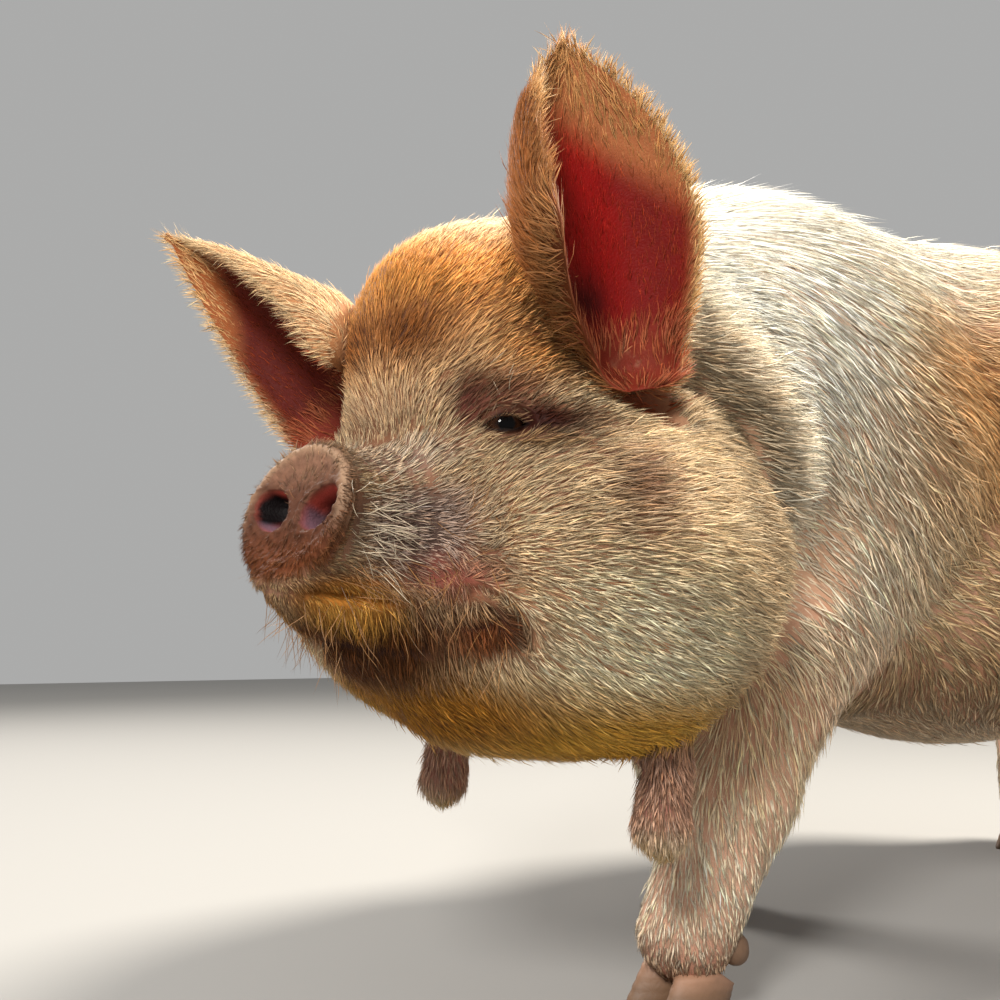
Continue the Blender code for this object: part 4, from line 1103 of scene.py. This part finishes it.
def bareness(points):  # 1 where no hair grows: in the nostrils, between the lids and under the hooves
    local, _ = mirrorSide(toHead(points))
    level, up, out, inside = eyePlace(local)
    disc = discPlace(points)
    face = (1 - ease(discReach(disc), 0.9, 1.05)) * (disc[:, 1] < 0.004)
    return np.max([
        (1 - ease(-inside, 0.0022, 0.006)) * (1 - ease(np.hypot(level, up), 0.013, 0.018)) * (out > 0),  # lids
        inPatch(local, "eyeCorner") * 0.72,
        inPatch(local, "eyeRing") * 0.75,
        inPatch(local, "lip") * 0.2,
        (1 - ease(nostrilPlace(disc - nostrilSlant(disc)), 1.1, 1.3)) * (disc[:, 1] < 0.03),
        face * (0.8 - 0.45 * ease(-disc[:, 2], 0.0, 0.03)),
        np.exp(-(nearLine(local, creases["mouth"][0])[0] / 0.0035) ** 2),
        1 - ease(points[:, 2], 0.026, 0.034),  # soles
        1 - ease(pigField(points) + coatDepth(points), -0.018, -0.013),  # deep in a fold or an ear
    ], axis=0)
_, earAlong, earFaceSide, earNumber = bare["ear"][triangles[:, 0]].T
earZone = bare["onEar"][triangles].mean(axis=1) > 0.5
earEdge = ease(np.abs(bare["ear"][triangles, 0]).mean(1), 0.7, 0.9)
earInside = (earFaceSide > 0) * (1 - earEdge) * (1 - 0.6 * ease(earAlong, 0.65, 0.9))
coverWeight = areas / (centreLength * centreWidth) * (1 - bareness(centres))
coverWeight *= 1 - 0.95 * (bare["pit"] * (1 - bare["lobe"]))[triangles].mean(axis=1)
coverWeight = np.where(earZone, areas * (1 + 1.2 * earEdge) * (1 - 0.3 * earInside), coverWeight)
onHead = (inHeadShare(centres) > 0.5) & (centreLocal[:, 1] < 0.19) & ~earZone
frontFace = onHead & (centreLocal[:, 1] < 0.05)
jowl = onHead & ~frontFace
leftSide = centreLocal[:, 0] >= 0
underBelly = (np.abs(centres[:, 0]) < 0.1) & (centres[:, 1] > 0.02) & (centres[:, 1] < 0.66)
lowLeg = ~onHead & (centres[:, 2] < 0.25) & ~underBelly & (centres[:, 1] < 0.84)
barrel = ~onHead & ~lowLeg & ~earZone
flank = barrel & (centres[:, 1] >= 0.16)
zones = {  # triangles of the zone, how many tufts, unwrap, lift, curl
    "coat_face_left": (frontFace & leftSide, 22000, roundUnwrap, 0.24, 0.03),
    "coat_face_right": (frontFace & ~leftSide, 14500, roundUnwrap, 0.24, 0.03),
    "coat_jowl_left": (jowl & leftSide, 22000, roundUnwrap, 0.18, 0.03),
    "coat_jowl_right": (jowl & ~leftSide, 12000, roundUnwrap, 0.18, 0.03),
    "coat_shoulder": (barrel & (centres[:, 1] < 0.16), 22000, barrelUnwrap, 0.14, 0.03),
    "coat_flank_left": (flank & (centres[:, 0] >= 0), 20000, barrelUnwrap, 0.15, 0.04),
    "coat_flank_right": (flank & (centres[:, 0] < 0), 14000, barrelUnwrap, 0.15, 0.04),
    "coat_legs": (lowLeg, 22500, legUnwrap, 0.16, 0.02),
    "coat_ear_left": (earZone & (earNumber == 0), 9000, roundUnwrap, 0.2, 0.03),
    "coat_ear_right": (earZone & (earNumber == 1), 7000, roundUnwrap, 0.2, 0.03),
}
earHair = {"length": (0.008, 0.0155, 0.0115), "width": (0.0005, 0.001, 0.0007)}  # inner, outer, rim


def pickRoots(mask, count):  # random places on the zone's triangles, more where tufts are small
    weight = np.where(mask, coverWeight, 0)
    picked = rng.choice(len(triangles), size=count, p=weight / weight.sum())
    first, second = rng.uniform(size=(2, count))
    over = first + second > 1
    first, second = np.where(over, 1 - first, first), np.where(over, 1 - second, second)
    mixing = np.stack([1 - first - second, first, second], 1)
    corner = triangles[picked]
    spots, normals, ear = ((bare[key][corner] * mixing[:, :, None]).sum(1) for key in ("points", "normals", "ear"))
    ear[:, 2:] = bare["ear"][corner[:, 0], 2:]
    shares = ((bare[key][corner] * mixing).sum(1) for key in ("shade", "onEar", "pit", "toEar"))
    return spots, unit(normals), ear, *shares


# On an ear the coat fans out along it, is longer at the tip and the lobe, and takes the ear's colours, with their
# painted glow and shade.
def turnToEar(number, side, ear, weight, looks, places, onPiece):
    across, along, face, _ = ear.T
    rim = ease(np.abs(across), 0.8, 0.95)
    _, alongWay, acrossWay = earFace(across, along, face, ears[side])
    lowFront = ease(-across, 0.55, 0.8) * (1 - ease(along, 0.32, 0.52)) * (number == 0)
    spread = across * (0.35 + 1.3 * rim) * (1 - 2 * lowFront) * rng.uniform(0.4, 1.2, len(ear))
    wanted = unit(alongWay + acrossWay * spread[:, None] + rng.normal(0, 0.1, (len(ear), 3)))
    fuller = 1 + 0.9 * ease(along, 0.5, 0.8) + 0.9 * (1 - ease(along, 0.02, 0.15))
    sizes = []
    for (inner, outer, edge), shorter, more in ((earHair["length"], 0.2, 0.7), (earHair["width"], 0.0, 0.0)):
        size = np.where(face > 0, inner * fuller, outer * (1 - shorter * along)) * (1 - rim) + edge * rim
        sizes.append(size * (1 + more * lowFront))
    flow, hair, length, width = looks
    flow = unit(flow * (1 - weight[:, None]) + wanted * weight[:, None])
    hair = hair * (1 - weight[:, None]) + earColours(across, along, face, side)[1] * weight[:, None]
    length, width = (value * (1 - weight) + size * weight for value, size in zip((length, width), sizes))
    if onPiece:
        island = np.where(face > 0, 0.0, 0.5)
        up = 0.1 + 0.88 * np.clip(along + 0.1, 0, 1.1) / 1.1
        places = np.stack([island + 0.02 + 0.46 * (across + 1) / 2, up], 1)
    return flow, hair, length, width, places


chances = {"length": (0.65, 1.3), "width": (0.7, 1.25), "turn": 0.17, "shade": 0.19, "warmth": 0.05,
           "wild": (0.05, 2.2), "curl": (0.3, 1.6), "lift": (0.6, 1.5)}  # wild: share of tufts, how far they lift


def grow(name, mask, count, unwrap, lift, curl, fine):  # a zone's bent tufts, or its fine straight hairs
    roots, normals, ear, shade, onEarHere, pitHere, toEar = pickRoots(mask, count)
    local = mirrorSide(toHead(roots))[0]
    length, width = coatSize(roots)
    least, perMetre = coatSizes["besideEar"]
    length = np.minimum(length, least + perMetre * toEar)  # beside an ear the coat stays short of it
    flow = coatFlow(roots, normals)
    hair = mixTones(markings(roots)[0], ease(pitHere, 0.1, 0.5), earPalette["lobeHair"])
    places = unwrap(roots)
    if onEarHere.max() > 0.02:
        for number, side in enumerate(ears):
            own = (ear[:, 3] == number) & (onEarHere > 0.02)
            looks = [values[own] for values in (flow, hair, length, width)]
            onPiece = name.startswith("coat_ear_" + side)
            turned = turnToEar(number, side, ear[own], onEarHere[own], looks, places[own], onPiece)
            for values, changed in zip((flow, hair, length, width, places), turned):
                values[own] = changed
    if fine:
        length, width, hair = (value * change for value, change in zip((length, width, hair), coatSizes["fineSizes"]))
    cover = count * (length * width).mean() * 0.5 / areas[mask].sum()
    length = length * rng.uniform(*chances["length"], count)
    width = width * rng.uniform(*chances["width"], count) / math.sqrt(share)
    flow = unit(flow - normals * (flow * normals).sum(1)[:, None] * 0.9)
    flow = unit(flow + np.cross(normals, flow) * rng.normal(0, chances["turn"], count)[:, None])
    vary = rng.normal(1.0, chances["shade"], count).clip(0.5, 1.5) * (1 + 0.08 * waves(roots, 160, 31))
    # Painted shade: tufts are darker along the creases.
    vary = vary * (1 - 0.6 * shade)
    warm = rng.normal(0, chances["warmth"], count)
    hair = hair * vary[:, None] * np.stack([1 + warm, np.ones(count), 1 - warm], 1)
    wildShare, wildLift = chances["wild"]
    wild = np.where(rng.uniform(size=count) < wildShare, wildLift, 1.0)
    wisps = inPatch(leftHalf(roots), "wisps")
    curls = curl * (1 + 5 * wisps) * rng.uniform(*chances["curl"], count)
    lifts = lift * rng.uniform(*chances["lift"], count) * wild * (1 + 1.4 * wisps + 1.2 * inPatch(local, "crown"))
    lifts = lifts + 0.5 * inPatch(local, "neckFold") + 0.4 * shade  # in folds the coat stands clear
    # Painted shade at the roots, deeper in the head's coat than in the body's.
    rootShade = 0.42 if onHead[mask].any() else 0.7
    piece = tuftMesh(name, roots, normals, flow, length, width, lifts, curls, hair, places, 1 if fine else 2, rootShade=rootShade)
    print("grown:", name, count, "tufts, cover", round(float(cover), 2), "area", round(float(areas[mask].sum()), 3))
    return piece


coatPieces = []
for name, (mask, count, *rest) in zones.items():
    coatPieces.append(grow(name, mask, int(count * coatSizes["bent"] * share), *rest, False))
    coatPieces.append(grow(name + "_fine", mask, int(count * coatSizes["fine"] * share), *rest, True))


bristles = {  # centre, half sizes, how many for each side, shortest and longest, colour
    "snout": ((0.04, -0.066, -0.062), (0.016, 0.018, 0.034), 105, (0.016, 0.032), (226, 208, 180)),
    "lip": ((0.04, -0.06, -0.092), (0.03, 0.03, 0.012), 60, (0.018, 0.04), (168, 120, 72)),
    "chin": ((0.02, -0.07, -0.118), (0.04, 0.035, 0.022), 50, (0.018, 0.034), (168, 120, 72)),
    "cheek": ((0.075, -0.02, -0.09), (0.03, 0.03, 0.05), 70, (0.018, 0.034), (168, 120, 72)),
    "brow": ((0.066, -0.016, 0.012), (0.024, 0.022, 0.01), 4, (0.012, 0.024), (226, 208, 180)),
}
bristleWidth = 0.00045


def joinedTufts(name, sets, rings):  # one mesh of several sets of thick hairs
    return tuftMesh(name, *(np.concatenate(parts) for parts in zip(*sets)), rings=rings, thick=0.8, rootShade=0.8)


sets = []
centreSide, _ = mirrorSide(centreLocal)
for centre, radii, count, (shortest, longest), colour in bristles.values():
    weight = areas * patchWeight(centreSide, centre, radii, 0.5) * (1 - bareness(centres)) * ~earZone
    picked = rng.choice(len(triangles), size=count * 2, p=weight / weight.sum())
    size = len(picked)
    roots = centres[picked]
    normals = unit(bare["normals"][triangles[picked]].mean(1))
    flow = coatFlow(roots, normals) * 0.7 + rng.normal(0, 0.4, roots.shape) + normals * 0.7 - np.array([0, 0, 0.25])
    length = rng.uniform(shortest, longest, size)
    hair = plain(colour, size) * rng.uniform(0.4, 1.1, size)[:, None]
    lift = rng.uniform(-0.5, 0.2, size)
    curl = rng.uniform(0, 0.08, size)
    sets.append([roots, normals, unit(flow), length, np.full(size, bristleWidth), lift, curl, hair, roundUnwrap(roots)])
coatPieces.append(joinedTufts("bristles", sets, 4))

lashes = {"count": 26, "length": (0.006, 0.011), "width": 0.00038, "span": 0.92, "colour": (150, 116, 84)}
t = np.linspace(-lashes["span"], lashes["span"], lashes["count"])
sets = []
for mirror in ((1, 1, 1), (-1, 1, 1)):
    level = t * eye["halfOpening"]
    up = eye["up"] * (1 - t * t) + level * eye["tilt"] + 0.0003
    out = np.sqrt((eye["radius"] + 0.001) ** 2 - level ** 2 - up ** 2)
    roots = np.array(eye["centre"]) + np.outer(level, eyeLevel) + np.outer(up, eyeUp) + np.outer(out, gaze)
    roots = fromHead(roots * mirror)
    flow = unit(gaze * 0.8 - eyeUp * 0.15 + np.outer(t * 0.5 + 0.15, eyeLevel) + rng.normal(0, 0.08, roots.shape))
    normals = unit(eyeUp - flow * (flow @ eyeUp)[:, None])
    count = len(t)
    sets.append([roots, (normals * mirror) @ headRows, (flow * mirror) @ headRows,
                 rng.uniform(*lashes["length"], count), np.full(count, lashes["width"]), rng.uniform(0.0, 0.4, count),
                 np.zeros(count), plain(lashes["colour"], count), roundUnwrap(roots)])
coatPieces.append(joinedTufts("lashes", sets, 3))
print("coat grown:", sum(len(piece.data.loops) - 2 * len(piece.data.polygons) for piece in coatPieces), "triangles")


def eyeball(name, mirror):  # a ball whose front swells a little into the cornea
    ball, quads, caps = ballGrid(28, 40)
    swell, reach = eye["cornea"]
    cornea = 1 + swell * np.exp(-((1 - ball[:, 2]) / reach) ** 2)
    axes = np.stack([eyeLevel, eyeUp, gaze])
    local = (np.array(eye["centre"]) + ball * (eye["radius"] * cornea)[:, None] @ axes) * mirror
    inward = np.linalg.det(axes) * mirror[0] < 0
    made = newPiece(name, fromHead(local), *(faces[:, ::-1] if inward else faces for faces in (quads, caps)))
    angle = np.hypot(ball[:, 0] * 0.85, ball[:, 1] * 1.15)
    front = ball[:, 2] > 0
    iris = (1 - ease(angle, *eye["irisReach"])) * front
    colour = mixTones(plain(eye["white"], len(ball)), iris, eye["iris"])
    colour = mixTones(colour, iris * ease(angle, *eye["irisEdgeReach"]), eye["irisEdge"])
    putColours(made.data, mixTones(colour, (1 - ease(angle, *eye["pupilReach"])) * front, eye["pupil"]))
    return made


eyeballs = {side: eyeball("eyeball_" + side, mirror) for side, mirror in (("left", (1, 1, 1)), ("right", (-1, 1, 1)))}


# Each toe is a horn wall: an outline carried up a sloping line, round at the heel and pointed ahead.
hoof = {"halfWidth": 0.015, "halfLength": 0.033, "spread": 0.0165, "forward": 0.014, "height": 0.046, "slope": 0.42,
        "splay": 6.0, "rings": 30, "around": 44, "innerFlat": 0.86, "narrow": (0.3, 0.1), "shorter": 0.26,
        "heelLower": 0.3, "growth": (0.01, 46), "closesFrom": 0.86,
        "colour": (112, 84, 62), "topColour": (150, 112, 88), "lowColour": (74, 56, 42)}
dewclaw = {"radii": (0.009, 0.011, 0.015), "turn": (0, -40, 0), "spread": 0.019, "back": 0.8, "height": 0.052,
           "colour": (104, 78, 58)}


def hoofMesh(name, centre, outward):
    rings, around = hoof["rings"], hoof["around"]
    turns = np.arange(around) * 2 * math.pi / around
    rise, turn = (grid.ravel() for grid in np.meshgrid(np.linspace(0, 1, rings), turns, indexing="ij"))
    toe = np.cos(turn)  # 1 at the toe, -1 at the heel
    depth, pace = hoof["growth"]
    atEnd = np.clip((rise - hoof["closesFrom"]) / (1 - hoof["closesFrom"]), 0, 1)
    closing = np.sqrt(np.maximum(1 - atEnd ** 2, 0.0004))
    size = (0.94 + 0.06 * ease(rise, 0.0, 0.06)) * (1 + depth * np.sin(rise * pace) * ease(rise, 0.05, 0.2)) * closing
    atToe, atTop = hoof["narrow"]
    x = np.sin(turn) * hoof["halfWidth"] * (1 - atToe * np.clip(toe, 0, 1) ** 2.2 - atTop * rise) * size
    x = np.where(np.sin(turn) * outward < 0, x * hoof["innerFlat"], x)
    y = -toe * hoof["halfLength"] * (1 - hoof["shorter"] * rise) * size + hoof["slope"] * hoof["height"] * rise
    z = hoof["height"] * rise * (1 - hoof["heelLower"] * np.clip(-toe, 0, 1) * ease(rise, 0.2, 1.0))
    angle = math.radians(hoof["splay"]) * outward
    points = np.stack([x * math.cos(angle) - y * math.sin(angle), x * math.sin(angle) + y * math.cos(angle), z], 1)
    points = np.concatenate([points, [[0, 0, 0], points[-around:].mean(0)]]) + np.array(centre)
    index = np.arange(rings * around).reshape(rings, around)
    after = np.roll(index, -1, axis=1)
    sole = np.stack([np.full(around, len(points) - 2), after[0], index[0]], 1)
    top = np.stack([np.full(around, len(points) - 1), index[-1], after[-1]], 1)
    made = newPiece(name, points, gridFaces(rings, around, True), np.concatenate([sole, top]))
    facesOutward(made)
    height = np.concatenate([rise, [0, 1]])
    colour = mixTones(plain(hoof["colour"], len(points)), ease(height, 0.55, 0.95), hoof["topColour"])
    putColours(made.data, mixTones(colour, 1 - ease(height, 0.0, 0.25), hoof["lowColour"]))
    return made


hooves = {}
clawPoints = []
ball, quads, caps = ballGrid(12, 18)
claw = (ball * np.array(dewclaw["radii"]) * (1 - 0.25 * np.clip(-ball[:, 2:], 0, 1))) @ rowsOf(dewclaw["turn"])
for leg, run in legRuns.items():
    (x, y, z), radius = run[-1]
    for side, toeName in ((1, "outer"), (-1, "inner")):
        outward = side * math.copysign(1, x)
        centre = (x + outward * hoof["spread"], y - hoof["forward"], 0.0)
        hooves[f"{leg}_{toeName}"] = hoofMesh(f"toe_{leg}_{toeName}", centre, outward)
        spot = (x + outward * dewclaw["spread"], y + radius * dewclaw["back"], dewclaw["height"])
        clawPoints.append(claw + np.array(spot))
dewclaws = newPiece("dewclaws", np.concatenate(clawPoints),
                    *(repeated(faces, len(clawPoints), len(ball)) for faces in (quads, caps)))
putColours(dewclaws.data, plain(dewclaw["colour"], len(dewclaws.data.vertices)))
print("eyes and hooves made")


def addNode(tree, kind, settings, values):  # a shader node with its settings and the values of its sockets
    node = tree.nodes.new("ShaderNode" + kind)
    for key, value in settings.items():
        setattr(node, key, value)
    for key, value in values.items():
        node.inputs[key].default_value = value
    return node


# A group of shader nodes. Each link goes from a node's output to a node's input, where "in" and "out" are
# the group's own ends.
def newGroup(name, inputs, outputs, nodes, links):
    group = bpy.data.node_groups.new(name, "ShaderNodeTree")
    for label, kind, value in inputs:
        socket = group.interface.new_socket(name=label, in_out="INPUT", socket_type="NodeSocket" + kind)
        if value is not None:
            socket.default_value = value
    for label, kind in outputs:
        group.interface.new_socket(name=label, in_out="OUTPUT", socket_type="NodeSocket" + kind)
    made = {"in": group.nodes.new("NodeGroupInput"), "out": group.nodes.new("NodeGroupOutput")}
    for label, (kind, settings, values) in nodes.items():
        made[label] = addNode(group, kind, settings, values)
    for source, output, target, socket in links:
        group.links.new(made[source].outputs[output], made[target].inputs[socket])
    return group


def mathNode(operation, **values):  # a number's node, with the values of its second and third sockets
    return "Math", {"operation": operation}, {{"second": 1, "third": 2}[key]: value for key, value in values.items()}


scaling = ("VectorMath", {"operation": "SCALE"}, {})
strands = newGroup(  # fine hairs within a tuft: sine lines across its width
    "strands",
    (("Tint", "Color", (1, 1, 1, 1)), ("Strand", "Vector", None), ("Contrast", "Float", 0.3), ("Lines", "Float", 5.0)),
    (("Color", "Color"), ("Height", "Float")),
    {"split": ("SeparateXYZ", {}, {}), "spread": mathNode("MULTIPLY"), "turn": mathNode("MULTIPLY_ADD", second=19.0),
     "wave": mathNode("SINE"), "scaled": mathNode("MULTIPLY_ADD", third=1.0), "product": scaling},
    (("in", "Strand", "split", 0), ("split", "X", "spread", 0), ("in", "Lines", "spread", 1), ("split", "Z", "turn", 0),
     ("spread", 0, "turn", 2), ("turn", 0, "wave", 0), ("wave", 0, "scaled", 0), ("in", "Contrast", "scaled", 1),
     ("in", "Tint", "product", 0), ("scaled", 0, "product", "Scale"), ("product", 0, "out", "Color"),
     ("wave", 0, "out", "Height")))
grain = newGroup(  # skin and horn: blotches of slow noise, pores and fine crossed wrinkles
    "grain",
    (("Tint", "Color", (1, 1, 1, 1)), ("Blotch", "Float", 0.3), ("Size", "Float", 300.0)),
    (("Color", "Color"), ("Height", "Float"), ("Roughness", "Float")),
    {"place": ("TexCoord", {}, {}), "slow": ("TexNoise", {}, {"Scale": 60.0, "Detail": 4.0}),
     "fine": ("TexNoise", {}, {"Detail": 5.0, "Roughness": 0.6}),
     "cells": ("TexVoronoi", {"feature": "DISTANCE_TO_EDGE"}, {}), "cellSize": mathNode("MULTIPLY", second=1.3),
     "centred": mathNode("SUBTRACT", second=0.5), "scaled": mathNode("MULTIPLY_ADD", third=1.0), "product": scaling,
     "ridge": mathNode("MINIMUM", second=0.25), "height": mathNode("MULTIPLY_ADD", second=1.6),
     "rough": ("MapRange", {}, {3: 0.45, 4: 0.75})},
    (("place", "Object", "slow", "Vector"), ("place", "Object", "fine", "Vector"),
     ("place", "Object", "cells", "Vector"), ("in", "Size", "fine", "Scale"), ("in", "Size", "cellSize", 0),
     ("cellSize", 0, "cells", "Scale"),
     ("slow", "Fac", "centred", 0), ("centred", 0, "scaled", 0), ("in", "Blotch", "scaled", 1),
     ("in", "Tint", "product", 0), ("scaled", 0, "product", "Scale"), ("product", 0, "out", "Color"),
     ("cells", "Distance", "ridge", 0), ("ridge", 0, "height", 0), ("fine", "Fac", "height", 2),
     ("height", 0, "out", "Height"), ("fine", "Fac", "rough", 0), ("rough", 0, "out", "Roughness")))


def newMaterial(name, group, values, shaderValues, bump, distance):
    material = bpy.data.materials.new(name)
    material.use_nodes = True
    tree = material.node_tree
    shader = tree.nodes["Principled BSDF"]
    for key, value in shaderValues.items():
        shader.inputs[key].default_value = value
    node = addNode(tree, "Group", {"node_tree": group}, values)
    for socket, attribute, output in (("Tint", "tint", "Color"), ("Strand", "strand", "Vector")):
        if socket in node.inputs:
            reader = addNode(tree, "Attribute", {"attribute_name": attribute}, {})
            tree.links.new(reader.outputs[output], node.inputs[socket])
    relief = addNode(tree, "Bump", {}, {"Strength": bump, "Distance": distance})
    tree.links.new(node.outputs["Color"], shader.inputs["Base Color"])
    if "Roughness" in node.outputs:
        tree.links.new(node.outputs["Roughness"], shader.inputs["Roughness"])
    tree.links.new(node.outputs["Height"], relief.inputs["Height"])
    tree.links.new(relief.outputs["Normal"], shader.inputs["Normal"])
    return material


finishes = {
    "coat": newMaterial("soft_coat", strands, {"Contrast": 0.26, "Lines": 5.0},
                        {"Roughness": 0.55, "Specular IOR Level": 0.14}, 0.35, 0.0004),
    "bristle": newMaterial("bristle", strands, {"Contrast": 0.05, "Lines": 1.0},
                           {"Roughness": 0.4, "Specular IOR Level": 0.5}, 0.05, 0.0001),
    "skin": newMaterial("bare_skin", grain, {"Blotch": 0.55, "Size": 420.0},
                        {"Roughness": 0.55, "Specular IOR Level": 0.12}, 0.55, 0.0006),
    "horn": newMaterial("hoof_horn", grain, {"Blotch": 0.7, "Size": 160.0},
                        {"Roughness": 0.5, "Specular IOR Level": 0.5}, 0.35, 0.0005),
    "eye": newMaterial("wet_eye", grain, {"Blotch": 0.5, "Size": 300.0},
                       {"Coat Weight": 0.3, "Coat Roughness": 0.03, "Specular IOR Level": 0.0}, 0.0, 0.0001),
}


def finish(piece, finishName, slot, *nodes):
    piece.data.materials.clear()
    piece.data.materials.append(finishes[finishName])
    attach(piece, "root")
    if nodes:
        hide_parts(*nodes)


finish(skin, "skin", "coat", "trunk", "neck", "head", "jaw", "snout", "tail", "wattle_left", "wattle_right", "ear_left",
       "ear_right", "leg_fore_left", "leg_fore_right", "leg_hind_left", "leg_hind_right")
for piece in coatPieces:
    bristly = piece.name in ("bristles", "lashes")
    slot = "ear" if "ear" in piece.name.split("_") else "leg" if "legs" in piece.name else "coat"
    finish(piece, "bristle" if bristly else "coat", slot)
for side, made in eyeballs.items():
    finish(made, "eye", "eye", "eye_" + side)
for toeName, made in hooves.items():
    finish(made, "horn", "hoof", "hoof_" + toeName)
finish(dewclaws, "horn", "hoof")


studio = {"floor": 12.0, "floorColour": (0.31, 0.303, 0.293), "floorRough": 0.9, "world": (0.95, 0.95, 0.94),
          "worldStrength": 0.43}
half = studio["floor"] / 2
floorMesh = bpy.data.meshes.new("floor")
floorMesh.from_pydata([(-half, -half, 0), (half, -half, 0), (half, half, 0), (-half, half, 0)], [], [(0, 1, 2, 3)])
floor = newObject("floor", floorMesh)
floorPaint = bpy.data.materials.new("pale_floor")
floorPaint.use_nodes = True
floorInputs = floorPaint.node_tree.nodes["Principled BSDF"].inputs
floorInputs["Base Color"].default_value = (*studio["floorColour"], 1)
floorInputs["Roughness"].default_value = studio["floorRough"]
floorMesh.materials.append(floorPaint)
world = bpy.data.worlds.new("studio")
bpy.context.scene.world = world
world.use_nodes = True
worldInputs = world.node_tree.nodes["Background"].inputs
worldInputs["Color"].default_value = (*studio["world"], 1)
worldInputs["Strength"].default_value = studio["worldStrength"]
lamps = {  # place from the head: right, up and ahead of the camera's view; size, power, colour
    "key": ((1.7, 2.6, 0.8), 0.8, 238.0, (1.0, 0.94, 0.84)),
    "rim": ((-1.8, 1.8, 2.0), 0.9, 72.0, (1.0, 0.96, 0.9)),
    "fill": ((-0.7, 1.3, -2.2), 0.6, 86.0, (1.0, 0.97, 0.92)),
}
aim = fromHead(np.array([0.0, 0.05, -0.02])) + shift
for name, ((side, height, onward), size, power, colour) in lamps.items():
    lampData = bpy.data.lights.new(name, "AREA")
    lampData.shape = "DISK"
    lampData.size = size
    lampData.energy = power
    lampData.color = colour
    spot = aim + right * side + straightUp * height + onwardWay * onward
    back = unit(spot - aim)
    sideways = unit(np.cross(straightUp, back))
    standAt(newObject(name, lampData), sideways, np.cross(back, sideways), back, spot)
bpy.context.scene.view_settings.view_transform = "Standard"
